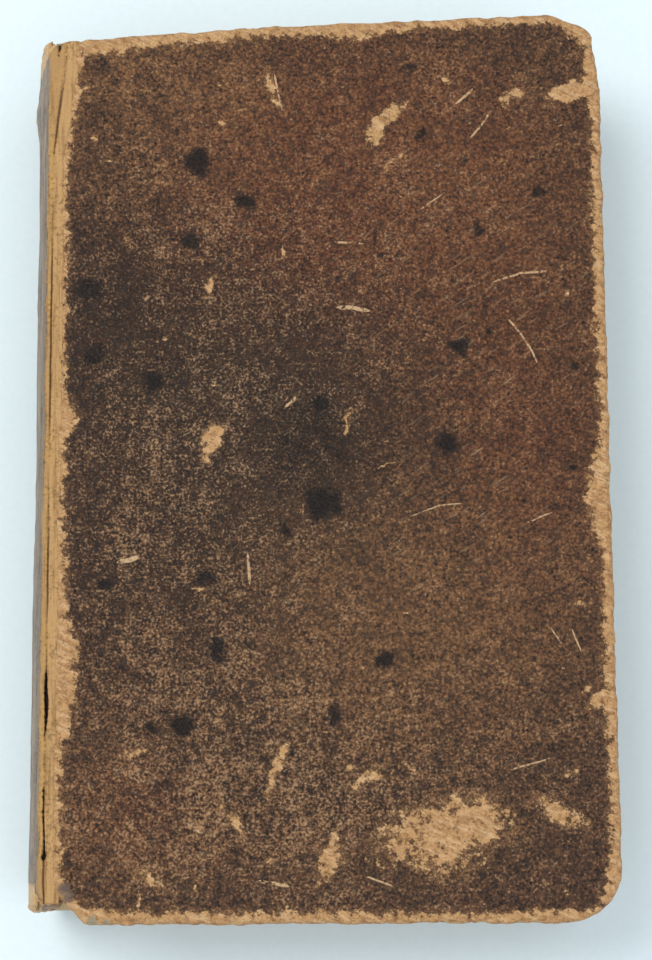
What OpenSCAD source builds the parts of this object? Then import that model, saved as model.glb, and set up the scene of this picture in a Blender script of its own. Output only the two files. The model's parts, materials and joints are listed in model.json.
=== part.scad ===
// Small leather-bound prayer book, lying closed on its back cover.
// +X runs from the spine to the fore-edge, +Y to the head, +Z up through the front cover.
// The origin is the middle of the underside. Both covers swing on the outer edge of their joint.

/* [Covers] */
// Width of a cover, from its joint to the fore-edge
cover_w = 106; // [80:1:140]
// Height of a cover, from tail to head
cover_h = 172; // [130:1:220]
// Thickness of the pasteboard
board_t = 2.5; // [1.6:0.1:4]
// Radius of the rubbed corners at the fore-edge
corner_r = 7; // [3:0.5:10]
// Size of the cut at each board corner beside the spine
back_corner = 3; // [2:0.5:5]

/* [Leather] */
// Thickness of the covering leather
leather_t = 0.8; // [0.5:0.1:1.2]
// Width of the leather turned in over the inside of a board
turn_w = 12; // [8:1:16]
// Thickness of the pared turn-ins
turn_t = 0.5; // [0.3:0.1:0.7]
// Width of the hinge strip of leather along each joint
joint_w = 4; // [3:0.5:6]
// Gap between the joint and the edge of the board
board_gap = 1; // [0.6:0.1:1.6]
// How far the rounded spine stands out past the joints
spine_round = 3.5; // [2.5:0.1:5]

/* [Text block] */
// Thickness of all the leaves together
block_t = 24.6; // [18:0.2:40]
// How far the covers stand out past the leaves
square_w = 2.5; // [1.5:0.1:3.5]
// Number of sewn gatherings
gathering_count = 12; // [8:1:16]
// Thickness of a pastedown, an endpaper or a flyleaf
sheet_t = 0.25; // [0.2:0.05:0.4]
// Thickness of each group of loose opening leaves
opening_t = 0.8; // [0.5:0.1:1.5]
// Width of the sewn fold, where leaves can't turn
fold_w = 4.7; // [4:0.1:7]
// Radius of the corners of the leaves
leaf_corner_r = 1.5; // [0.5:0.5:3]

/* [Sewing and endbands] */
// Radius of a sewing cord
cord_r = 0.7; // [0.5:0.05:0.9]
// Distance from the head or tail of the leaves to the kettle stitch
kettle_margin = 10.5; // [8:0.5:14]
// Distance from the kettle stitch to the first sewing cord
kettle_gap = 13; // [8:1:16]
// Radius of the sewing thread
thread_r = 0.35; // [0.2:0.05:0.5]
// Radius of an endband over its silk
band_r = 0.8; // [0.6:0.05:1]
// Radius of the core inside an endband
band_core_r = 0.45; // [0.3:0.05:0.5]
// Radius of the leather roll that caps the spine
cap_r = 1.2; // [0.9:0.1:1.4]
// Thickness of the paper lining under the spine leather
lining_t = 0.4; // [0.2:0.1:0.6]
// Length of a cord slip laced into a board
slip_l = 16; // [10:1:24]
// Width of a frayed cord slip
slip_w = 4; // [3:0.5:6]
// Thickness of a frayed cord slip
slip_t = 0.5; // [0.3:0.1:0.8]

/* [Clearances] */
// Space between a leaf that turns and the next one
leaf_gap = 0.15; // [0.1:0.05:0.3]
// Space between the spine and a cover at the joint
joint_clear = 0.1; // [0.05:0.05:0.2]
// Space between the sewn folds and the leaves that turn
fold_clear = 0.3; // [0.2:0.1:0.5]
// Space round a cord or thread in its saw cut
cord_clear = 0.05; // [0.02:0.01:0.1]
// Space between the endbands, the caps and what is next to them
band_clear = 0.05; // [0.02:0.01:0.1]
// Space between the leaves' end and the cap of the spine
cap_clear = 0.1; // [0.05:0.05:0.2]

/* [Hidden] */
$fn = 180;
// Smallest overrun that keeps a cut clean
over = 1;
// A cover, a pastedown and the air between a pastedown and the leaves
cover_t = leather_t + board_t;
side_t = cover_t + sheet_t + leaf_gap;
book_t = block_t + 2 * side_t;
mid_z = book_t / 2;
// The outside of the spine is an arc through both joints
spine_r = (mid_z * mid_z + spine_round * spine_round) / (2 * spine_round);
spine_cx = spine_r - spine_round;
spine_angle = asin(mid_z / spine_r) + 2;
fold_r = spine_r - leather_t - lining_t;
// The leaves are as wide as fits inside the squares at the fore-edge
top_fold_x = spine_cx - sqrt(fold_r * fold_r - block_t * block_t / 4);
leaf_w = cover_w - square_w - top_fold_x;
leaf_h = cover_h - 2 * square_w;
turn_x = fold_w + fold_clear;
// Heights of the leaves that turn, from the bottom up
back_free_z = side_t;
back_fly_z = back_free_z + sheet_t + leaf_gap;
sewn_z = back_fly_z + sheet_t + leaf_gap;
front_free_z = book_t - side_t - sheet_t;
front_fly_z = front_free_z - leaf_gap - sheet_t;
opening_1_z = front_fly_z - leaf_gap - opening_t;
opening_2_z = opening_1_z - leaf_gap - opening_t;
sewn_top_z = opening_2_z - leaf_gap;
gathering_t = (sewn_top_z - sewn_z) / gathering_count;
// Sewing stations, from tail to head
cord_count = 5;
kettle_y = leaf_h / 2 - kettle_margin;
cord_pitch = 2 * (kettle_y - kettle_gap) / (cord_count - 1);
cord_ys = [for (i = [0 : cord_count - 1]) (i - (cord_count - 1) / 2) * cord_pitch];
cord_ring_r = fold_r - cord_r - cord_clear;
// The caps end level with the boards, and the endbands sit on the leaves inside them
cap_y = cover_h / 2 - cap_r;
spine_h = 2 * (cap_y - cap_r - cap_clear);
band_y = leaf_h / 2 + band_r + band_clear;
band_ring_r = spine_r - 2 * cap_r - band_r - band_clear;
// Moves the joint line to its place, with the whole book centred over the origin
joint_x = -(cover_w - spine_round) / 2;

leather = "#5b4130";
hinge_leather = "#b98f5e";
pasteboard = "#a89a80";
paper = "#d9cba6";
endpaper = "#cdbf9c";
cord = "#b8a27a";
silk = "#8a6a4a";

function two(n) = n < 10 ? str("0", n) : str(n);
GATHERINGS = [for (i = [1 : gathering_count]) str("gathering_", two(i))];
CORDS = [for (i = [1 : cord_count]) str("sewing_cord_", i)];

// Puts what is drawn from the joint line into the book's own frame
module in_book() {
    translate([joint_x, 0, 0]) children();
}

// Turns the back cover's pieces over to make the front cover's
module as_front() {
    translate([0, 0, book_t]) mirror([0, 0, 1]) children();
}

// Carries a section drawn in X and Z along the book's height
module along_y(length) {
    rotate([90, 0, 0]) linear_extrude(height = length, center = true) children();
}

// Outline of a cover from x0 to x1, taken in by inset on its three outer sides
module cover_outline(x0, x1, inset = 0) {
    w = cover_w - inset;
    h = cover_h - 2 * inset;
    r = max(corner_r - inset, leaf_corner_r);
    intersection() {
        translate([x0, -cover_h / 2]) square([x1 - x0, cover_h]);
        difference() {
            translate([0, -h / 2]) square([w, h]);
            for (side = [-1, 1]) scale([1, side]) {
                difference() {
                    translate([w - r, h / 2 - r]) square([r + over, r + over]);
                    translate([w - r, h / 2 - r]) circle(r);
                }
                polygon([[-over, h / 2 - back_corner / 2 - over / 2], [back_corner, h / 2],
                    [back_corner, h / 2 + over], [-over, h / 2 + over]]);
            }
        }
    }
}

// Leather over the outside of a board, round its edges and turned in over its inside
module cover_leather() {
    difference() {
        linear_extrude(height = cover_t) cover_outline(joint_w, cover_w);
        translate([0, 0, leather_t]) linear_extrude(height = cover_t)
            cover_outline(joint_w - over, cover_w, leather_t);
    }
    translate([0, 0, cover_t - turn_t]) linear_extrude(height = turn_t) turn_in_outline();
}

// The U-shaped strip where the leather lies on the inside of a board
module turn_in_outline() {
    difference() {
        cover_outline(joint_w, cover_w, leather_t);
        cover_outline(joint_w - over, cover_w, turn_w);
    }
}

// Flexible strip of leather that the cover swings on
module joint_leather() {
    linear_extrude(height = leather_t) cover_outline(joint_clear, joint_w);
}

// Pasteboard, with a rebate for the turn-ins and channels for the cord slips
module board() {
    difference() {
        translate([0, 0, leather_t]) linear_extrude(height = board_t)
            cover_outline(board_gap, cover_w, leather_t);
        translate([0, 0, cover_t - turn_t]) linear_extrude(height = turn_t + over) turn_in_outline();
        cord_slips();
    }
}

// Frayed ends of the sewing cords, pasted into the outside of a board
module cord_slips() {
    for (y = cord_ys)
        translate([board_gap, y - slip_w / 2, leather_t]) cube([slip_l, slip_w, slip_t]);
}

// Sheet of paper pasted over the inside of a board
module pastedown() {
    translate([0, 0, cover_t]) linear_extrude(height = sheet_t)
        cover_outline(board_gap + joint_clear, cover_w, square_w);
}

// Band of the spine's arc between two radii, between the two joints
module spine_arc(r_out, r_in) {
    intersection() {
        translate([-spine_round - over, 0]) square([spine_round + over - joint_clear, book_t]);
        difference() {
            translate([spine_cx, mid_z]) circle(r_out);
            translate([spine_cx, mid_z]) circle(r_in);
        }
    }
}

// Ring that follows the spine's arc at height y; the children are its section
module spine_ring(y) {
    translate([spine_cx, y, mid_z]) rotate([90, 0, 0]) rotate([0, 0, 180 - spine_angle])
        rotate_extrude(angle = 2 * spine_angle) children();
}

// Keeps what lies outside the joint line, between two heights of the book
module beside_joint(z0, z1) {
    intersection() {
        translate([-spine_round - over, -cover_h / 2 - over, z0])
            cube([spine_round + over - joint_clear, cover_h + 2 * over, z1 - z0]);
        children();
    }
}

// Section of all the leaves: rounded at the spine and hollowed to match at the fore-edge
module block_section() {
    difference() {
        union() {
            translate([spine_cx, mid_z]) circle(fold_r);
            translate([spine_cx, 0]) square([leaf_w, book_t]);
        }
        translate([spine_cx + leaf_w, mid_z]) circle(fold_r);
        translate([spine_cx + leaf_w, 0]) square([fold_r + over, book_t]);
    }
}

// Leaves between two heights, from x0 to the fore-edge
module leaves(z0, thick, x0 = -10) {
    intersection() {
        along_y(leaf_h) intersection() {
            block_section();
            translate([x0, z0]) square([cover_w - x0, thick]);
        }
        translate([0, 0, z0 - over]) linear_extrude(height = thick + 2 * over) leaf_outline();
    }
}

// Leaves seen from above, with their fore-edge corners eased
module leaf_outline() {
    difference() {
        translate([-10, -leaf_h / 2]) square([cover_w + 10, leaf_h]);
        for (side = [-1, 1]) scale([1, side]) difference() {
            translate([cover_w - square_w - leaf_corner_r, leaf_h / 2 - leaf_corner_r])
                square([cover_w, leaf_corner_r + over]);
            translate([cover_w - square_w - leaf_corner_r, leaf_h / 2 - leaf_corner_r])
                circle(leaf_corner_r);
        }
    }
}

// Saw cuts across the folds, where the cords and the kettle stitches lie
module saw_cuts() {
    for (y = cord_ys) saw_cut(y, cord_r);
    for (y = [-kettle_y, kettle_y]) saw_cut(y, thread_r);
}

// One saw cut that holds a cord or thread of radius r
module saw_cut(y, r) {
    deep = 2 * r + 2 * cord_clear;
    spine_ring(y) translate([fold_r - deep, -r - cord_clear]) square([deep + over, deep]);
}

// One gathering of folded leaves, counted from the back
module gathering(i) {
    difference() {
        leaves(sewn_z + (i - 1) * gathering_t, gathering_t);
        saw_cuts();
    }
}

// Folds of the leaves that turn, sewn and glued to the rest of the block
module gutter_folds(z0, z1) {
    difference() {
        along_y(leaf_h) intersection() {
            block_section();
            translate([-10, z0]) square([fold_w + 10, z1 - z0]);
        }
        saw_cuts();
    }
}

module back_cover_leather() { color(leather) in_book() cover_leather(); }
module back_joint_leather() { color(hinge_leather) in_book() joint_leather(); }
module back_board() { color(pasteboard) in_book() board(); }
module back_cord_slips() { color(cord) in_book() cord_slips(); }
module back_pastedown() { color(endpaper) in_book() pastedown(); }

module front_cover_leather() { color(leather) in_book() as_front() cover_leather(); }
module front_joint_leather() { color(hinge_leather) in_book() as_front() joint_leather(); }
module front_board() { color(pasteboard) in_book() as_front() board(); }
module front_cord_slips() { color(cord) in_book() as_front() cord_slips(); }
module front_pastedown() { color(endpaper) in_book() as_front() pastedown(); }

module spine_leather() {
    color(leather) in_book() along_y(spine_h) spine_arc(spine_r, spine_r - leather_t);
}

module spine_lining() {
    color(paper) in_book() along_y(spine_h) spine_arc(spine_r - leather_t, fold_r);
}

// Leather rolled over the end of the spine; side is 1 at the head and -1 at the tail
module spine_cap(side) {
    color(leather) in_book() beside_joint(0, book_t)
        spine_ring(side * cap_y) translate([spine_r - cap_r, 0]) circle(cap_r);
}

module head_cap() { spine_cap(1); }
module tail_cap() { spine_cap(-1); }

// Silk sewn round a core, across the end of the leaves
module end_band(side) {
    color(silk) in_book() between_covers() spine_ring(side * band_y) translate([band_ring_r, 0])
        difference() {
            circle(band_r);
            circle(band_core_r);
        }
}

module end_band_core(side) {
    color(cord) in_book() between_covers() spine_ring(side * band_y)
        translate([band_ring_r, 0]) circle(band_core_r);
}

// Keeps what lies between the two covers
module between_covers() {
    intersection() {
        translate([-spine_round, -cover_h / 2, side_t])
            cube([cover_w, cover_h, book_t - 2 * side_t]);
        children();
    }
}

module head_band() { end_band(1); }
module tail_band() { end_band(-1); }
module head_band_core() { end_band_core(1); }
module tail_band_core() { end_band_core(-1); }

// Cord sunk in its saw cuts across the backs of the gatherings
module sewing_cord(i) {
    color(cord) in_book() between_covers()
        spine_ring(cord_ys[i - 1]) translate([cord_ring_r, 0]) circle(cord_r);
}

// The linked stitches that end each gathering's thread at head and tail
module kettle_stitches() {
    color(cord) in_book() between_covers() for (y = [-kettle_y, kettle_y])
        spine_ring(y) translate([fold_r - thread_r - cord_clear, 0]) circle(thread_r);
}

module back_gutter_folds() { color(paper) in_book() gutter_folds(side_t, sewn_z); }
module front_gutter_folds() { color(paper) in_book() gutter_folds(sewn_top_z, book_t - side_t); }

module back_free_endpaper() { color(endpaper) in_book() leaves(back_free_z, sheet_t, turn_x); }
module back_flyleaf() { color(paper) in_book() leaves(back_fly_z, sheet_t, turn_x); }
module front_free_endpaper() { color(endpaper) in_book() leaves(front_free_z, sheet_t, turn_x); }
module front_flyleaf() { color(paper) in_book() leaves(front_fly_z, sheet_t, turn_x); }
module opening_leaves_1() { color(paper) in_book() leaves(opening_1_z, opening_t, turn_x); }
module opening_leaves_2() { color(paper) in_book() leaves(opening_2_z, opening_t, turn_x); }

back_cover_leather();
back_joint_leather();
back_board();
back_cord_slips();
back_pastedown();
front_cover_leather();
front_joint_leather();
front_board();
front_cord_slips();
front_pastedown();
spine_leather();
spine_lining();
head_cap();
tail_cap();
head_band();
tail_band();
head_band_core();
tail_band_core();
kettle_stitches();
back_gutter_folds();
front_gutter_folds();
back_free_endpaper();
back_flyleaf();
front_free_endpaper();
front_flyleaf();
opening_leaves_1();
opening_leaves_2();
for (i = [1 : cord_count])
    color(cord) sewing_cord(i);
for (i = [1 : gathering_count])
    color(paper) in_book() gathering(i);
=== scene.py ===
"""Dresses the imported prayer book: rubbed calf covers, creased joints, caps, endbands and rag-paper leaves.

Lengths are in millimetres in the joint frame, with x from the joint line towards the fore-edge, y to the head
and z up, until put_mesh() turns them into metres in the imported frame.
"""
import json
import logging
import math
from dataclasses import dataclass, field
from enum import Enum

import bpy
import numpy as np
from mathutils import Matrix, Vector


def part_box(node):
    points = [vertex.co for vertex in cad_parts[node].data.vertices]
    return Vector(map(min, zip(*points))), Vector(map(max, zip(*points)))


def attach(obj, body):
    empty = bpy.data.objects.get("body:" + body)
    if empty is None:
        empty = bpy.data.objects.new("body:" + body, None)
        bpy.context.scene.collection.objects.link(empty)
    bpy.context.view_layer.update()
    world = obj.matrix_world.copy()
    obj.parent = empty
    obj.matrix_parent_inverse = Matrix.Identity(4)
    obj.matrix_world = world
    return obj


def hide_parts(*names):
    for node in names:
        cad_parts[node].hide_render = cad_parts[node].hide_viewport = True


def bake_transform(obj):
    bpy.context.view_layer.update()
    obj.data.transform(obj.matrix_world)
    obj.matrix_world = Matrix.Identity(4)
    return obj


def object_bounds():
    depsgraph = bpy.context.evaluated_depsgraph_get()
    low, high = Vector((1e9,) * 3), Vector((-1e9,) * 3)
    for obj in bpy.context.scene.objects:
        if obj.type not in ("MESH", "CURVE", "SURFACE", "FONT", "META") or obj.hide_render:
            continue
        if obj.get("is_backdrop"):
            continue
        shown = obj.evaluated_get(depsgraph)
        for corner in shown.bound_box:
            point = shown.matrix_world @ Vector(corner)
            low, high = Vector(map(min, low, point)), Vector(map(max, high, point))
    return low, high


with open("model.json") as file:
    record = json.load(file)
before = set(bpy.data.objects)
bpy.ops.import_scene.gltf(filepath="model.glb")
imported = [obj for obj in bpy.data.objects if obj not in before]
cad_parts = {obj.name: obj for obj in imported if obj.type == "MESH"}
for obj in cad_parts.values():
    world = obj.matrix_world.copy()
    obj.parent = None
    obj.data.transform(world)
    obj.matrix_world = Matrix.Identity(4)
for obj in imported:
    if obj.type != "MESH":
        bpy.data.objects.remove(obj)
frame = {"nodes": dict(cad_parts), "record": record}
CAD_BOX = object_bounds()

log = logging.getLogger("prayer_book")
M = 0.001
"""Metres in a millimetre."""


class Body(Enum):
    """The rigid bodies that pieces ride on."""

    BACK = "back_cover"
    BLOCK = "text_block"
    FRONT = "front_cover"


class Side(Enum):
    """Which cover of the book a piece belongs to."""

    FRONT = 1
    BACK = -1


@dataclass(frozen=True)
class BookSizes:
    """Main sizes, read from the frame's joints and boxes, in mm."""

    joint_x: float
    thick: float
    spine_round: float
    cover_t: float = 3.3
    leather_t: float = 0.8
    turn_w: float = 12.0

    @property
    def spine_r(self) -> float:
        """Radius of the arc through both joints and the middle of the spine."""
        half = self.thick / 2
        return (half * half + self.spine_round * self.spine_round) / (2 * self.spine_round)

    @property
    def spine_cx(self) -> float:
        """Place of that arc's centre."""
        return self.spine_r - self.spine_round


def read_sizes() -> BookSizes:
    """Reads the book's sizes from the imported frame.

    Returns:
        The sizes in mm.
    """
    swing = next(j for j in frame["record"]["behaviour"]["joints"] if j["name"] == "front_cover_swing")
    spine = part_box("spine_leather")
    joint_x, thick = swing["pos_m"][0] / M, swing["pos_m"][2] / M
    return BookSizes(joint_x, thick, joint_x - spine[0][0] / M)


BOOK = read_sizes()


# ---------------------------------------------------------------- shapes
def ease(t: np.ndarray) -> np.ndarray:
    """Smooth step: t limited to 0..1, then 3 t squared less 2 t cubed."""
    t = np.clip(t, 0.0, 1.0)
    return t * t * (3 - 2 * t)


def value_noise(x: np.ndarray, y: np.ndarray, size: float, seed: int) -> np.ndarray:
    """Smooth noise from -1 to 1: random values on a square lattice, eased between its points.

    Args:
        x: First coordinate of each point.
        y: Second coordinate of each point.
        size: Distance between lattice points, in the same units.
        seed: Number that picks the lattice.

    Returns:
        One value for each point.
    """
    table = np.random.default_rng(seed).uniform(-1, 1, (61, 67))
    fx, fy = x / size, y / size
    ix, iy = np.floor(fx).astype(int), np.floor(fy).astype(int)
    tx, ty = ease(fx - ix), ease(fy - iy)
    low = table[ix % 61, iy % 67] * (1 - tx) + table[(ix + 1) % 61, iy % 67] * tx
    high = table[ix % 61, (iy + 1) % 67] * (1 - tx) + table[(ix + 1) % 61, (iy + 1) % 67] * tx
    return low * (1 - ty) + high * ty


def grid_faces(rows: int, cols: int, close_cols: bool = False) -> np.ndarray:
    """Quads of a grid whose points run row by row.

    Args:
        rows: Number of rows of points.
        cols: Number of points in a row.
        close_cols: Join the last point of a row to its first.

    Returns:
        An array of four point numbers for each quad.
    """
    r = np.arange(rows - 1)[:, None]
    c = np.arange(cols if close_cols else cols - 1)[None, :]
    r1, c1 = r + 1, (c + 1) % cols
    quad = np.stack(np.broadcast_arrays(r * cols + c, r * cols + c1, r1 * cols + c1, r1 * cols + c), -1)
    return quad.reshape(-1, 4)


def put_mesh(name: str, points: np.ndarray, quads: np.ndarray, caps: list[np.ndarray] | None = None,
             marks: dict[str, np.ndarray] | None = None, flip: bool = False) -> bpy.types.Object:
    """Makes a smooth mesh object from points in the joint frame.

    Args:
        name: The piece's name.
        points: Points in mm, one row each.
        quads: Four point numbers for each face.
        caps: Closed rings of point numbers, each filled with one flat face.
        marks: Named values, one for each point, kept as attributes.
        flip: Turn every face over.

    Returns:
        The new object, linked to the scene.
    """
    world = (points + np.array([BOOK.joint_x, 0.0, 0.0])) * M
    rings = [q for q in quads.tolist()] + [c.tolist() for c in caps or []]
    if flip:
        rings = [ring[::-1] for ring in rings]
    mesh = bpy.data.meshes.new(name)
    mesh.from_pydata(world.tolist(), [], rings)
    mesh.polygons.foreach_set("use_smooth", np.ones(len(mesh.polygons), bool))
    for key, value in (marks or {}).items():
        mesh.attributes.new(key, "FLOAT", "POINT").data.foreach_set("value", value.astype(np.float32))
    mesh.update()
    obj = bpy.data.objects.new(name, mesh)
    bpy.context.scene.collection.objects.link(obj)
    return obj


def put_tube(name: str, loops: np.ndarray, marks: dict[str, np.ndarray],
             flip: bool = False) -> bpy.types.Object:
    """Makes a closed tube from a grid of points.

    Args:
        name: The piece's name.
        loops: Points, one loop round the tube in each row.
        marks: Named values, one for each point.
        flip: Turn every face over.

    Returns:
        The tube, with a flat face at each end.
    """
    rows, cols = loops.shape[:2]
    ends = [np.arange(cols)[::-1], np.arange(cols) + (rows - 1) * cols]
    flat = {key: value.ravel() for key, value in marks.items()}
    return put_mesh(name, loops.reshape(-1, 3), grid_faces(rows, cols, close_cols=True), ends, flat, flip)


def tube_grid(rows: int, cols: int) -> tuple[np.ndarray, np.ndarray]:
    """Share of the way along a tube, and the angle round it, at each point of its grid."""
    round_it = np.linspace(0, 2 * math.pi, cols, endpoint=False)
    share, angle = np.meshgrid(np.linspace(0, 1, rows), round_it, indexing="ij")
    return share, angle


def sharpen(obj: bpy.types.Object, degrees: float = 40.0) -> None:
    """Marks edges sharper than an angle, so that folded edges keep a crisp highlight."""
    obj.data.set_sharp_from_angle(angle=math.radians(degrees))


def rounded_ring(corners: tuple[tuple[float, float, float], ...], steps: int = 14) -> np.ndarray:
    """Closed outline with each corner replaced by an arc that is tangent to both its edges.

    Args:
        corners: x, y and radius of each corner, anticlockwise.
        steps: Points along each arc.

    Returns:
        The outline's points, in order.
    """
    out = []
    count = len(corners)
    for i, (x, y, r) in enumerate(corners):
        here = np.array([x, y])
        back = np.array(corners[i - 1][:2]) - here
        on = np.array(corners[(i + 1) % count][:2]) - here
        back, on = back / np.linalg.norm(back), on / np.linalg.norm(on)
        half = math.acos(float(np.clip(back @ on, -1, 1))) / 2
        reach = r / math.tan(half)
        middle = here + (back + on) / np.linalg.norm(back + on) * r / math.sin(half)
        a, b = here + back * reach - middle, here + on * reach - middle
        turn = math.atan2(a[0] * b[1] - a[1] * b[0], a @ b)
        t = np.linspace(0, turn, steps)[:, None]
        side = np.array([-a[1], a[0]])
        out.append(middle + a * np.cos(t) + side * np.sin(t))
    return np.concatenate(out)


def along(points: np.ndarray, count: int) -> np.ndarray:
    """Evenly spaced points along an open line, ends included."""
    step = np.linalg.norm(np.diff(points, axis=0), axis=1)
    s = np.concatenate([[0], np.cumsum(step)])
    t = np.linspace(0, s[-1], count)
    return np.stack([np.interp(t, s, points[:, k]) for k in range(points.shape[1])], 1)


def four_sides(ring: np.ndarray, across: int, up: int) -> tuple[np.ndarray, ...]:
    """Cuts a closed anticlockwise outline at its four corners.

    A corner is the point that lies furthest along a diagonal.

    Args:
        ring: The outline's points.
        across: Points on the tail and head sides.
        up: Points on the joint and fore-edge sides.

    Returns:
        The tail, fore-edge, head and joint sides; the last two run the same way as their opposites.
    """
    cut = [int(np.argmax(ring @ np.array(d))) for d in ((-1, -1), (1, -1), (1, 1), (-1, 1))]
    parts = []
    for k in range(4):
        a, b = cut[k], cut[(k + 1) % 4]
        b = b if b > a else b + len(ring)
        parts.append(along(ring[np.arange(a, b + 1) % len(ring)], (across, up)[k % 2]))
    return parts[0], parts[1], parts[2][::-1], parts[3][::-1]


def coons(tail: np.ndarray, fore: np.ndarray, head: np.ndarray, joint: np.ndarray) -> np.ndarray:
    """Coons patch: the two blends between opposite sides, less the blend of the four corners."""
    a = np.linspace(0, 1, len(tail))[None, :, None]
    b = np.linspace(0, 1, len(fore))[:, None, None]
    ends = ((1 - a) * (1 - b) * tail[0] + a * (1 - b) * tail[-1] + (1 - a) * b * head[0] + a * b * head[-1])
    return (1 - b) * tail[None] + b * head[None] + (1 - a) * joint[:, None] + a * fore[:, None] - ends


def spine_point(s: np.ndarray) -> tuple[np.ndarray, np.ndarray]:
    """Point at arc length s down the spine from the front joint, and its outward angle.

    Args:
        s: Arc length in mm, 0 at the front joint.

    Returns:
        Heights as x and z, stacked on the last axis, and the outward angle in radians.
    """
    start = math.pi - math.asin(BOOK.thick / 2 / BOOK.spine_r)
    angle = start + s / BOOK.spine_r
    x = BOOK.spine_cx + BOOK.spine_r * np.cos(angle)
    z = BOOK.thick / 2 + BOOK.spine_r * np.sin(angle)
    return np.stack([x, z], -1), angle


SPINE_LENGTH = 2 * BOOK.spine_r * math.asin(BOOK.thick / 2 / BOOK.spine_r)


def border_of(rows: int, cols: int) -> np.ndarray:
    """Numbers of a grid's border points, anticlockwise from the first point."""
    number = np.arange(rows * cols).reshape(rows, cols)
    return np.concatenate([number[0, :-1], number[:-1, -1], number[-1, :0:-1], number[:0:-1, 0]])


def slabs(name: str, pairs: list[tuple[np.ndarray, np.ndarray]], marks: dict[str, np.ndarray] | None = None,
          flip: bool = False) -> bpy.types.Object:
    """Closed sheets, each from an upper and a lower grid of points, joined round their borders.

    Args:
        name: The piece's name.
        pairs: Upper and lower grid of each sheet, rows by columns by 3, all the same size.
        marks: Values for the points of one sheet's grid, repeated on every grid.
        flip: Turn every face over.

    Returns:
        The piece.
    """
    rows, cols = pairs[0][0].shape[:2]
    face, rim = grid_faces(rows, cols), border_of(rows, cols)
    size, points, quads = rows * cols, [], []
    for k, (upper, lower) in enumerate(pairs):
        base = 2 * k * size
        points += [upper.reshape(-1, 3), lower.reshape(-1, 3)]
        side = np.stack([np.roll(rim, -1), rim, rim + size, np.roll(rim, -1) + size], 1)
        quads += [face + base, face[:, ::-1] + base + size, side + base]
    repeat = 2 * len(pairs)
    return put_mesh(name, np.concatenate(points), np.concatenate(quads), None,
                    {k: np.tile(v.ravel(), repeat) for k, v in (marks or {}).items()}, flip)


def lift(flat: np.ndarray, height: np.ndarray | float) -> np.ndarray:
    """Adds a height to a flat grid of points."""
    return np.concatenate([flat, np.broadcast_to(height, flat.shape[:2])[..., None]], -1)


# ---------------------------------------------------------------- finishes
def linear(hex_colour: str) -> tuple[float, float, float, float]:
    """Turns an sRGB hex colour, such as 8a6a4a, to linear red, green, blue and alpha."""
    parts = [int(hex_colour[i:i + 2], 16) / 255 for i in (0, 2, 4)]
    return tuple(c / 12.92 if c <= 0.04045 else ((c + 0.055) / 1.055) ** 2.4 for c in parts) + (1.0,)


def grain(size: float, detail: float = 3.0, rough: float = 0.55) -> dict[str, float]:
    """Settings of a pattern of that size in mm, on Object coordinates in metres."""
    return {"Scale": 1 / (size * M), "Detail": detail, "Roughness": rough}


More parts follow.
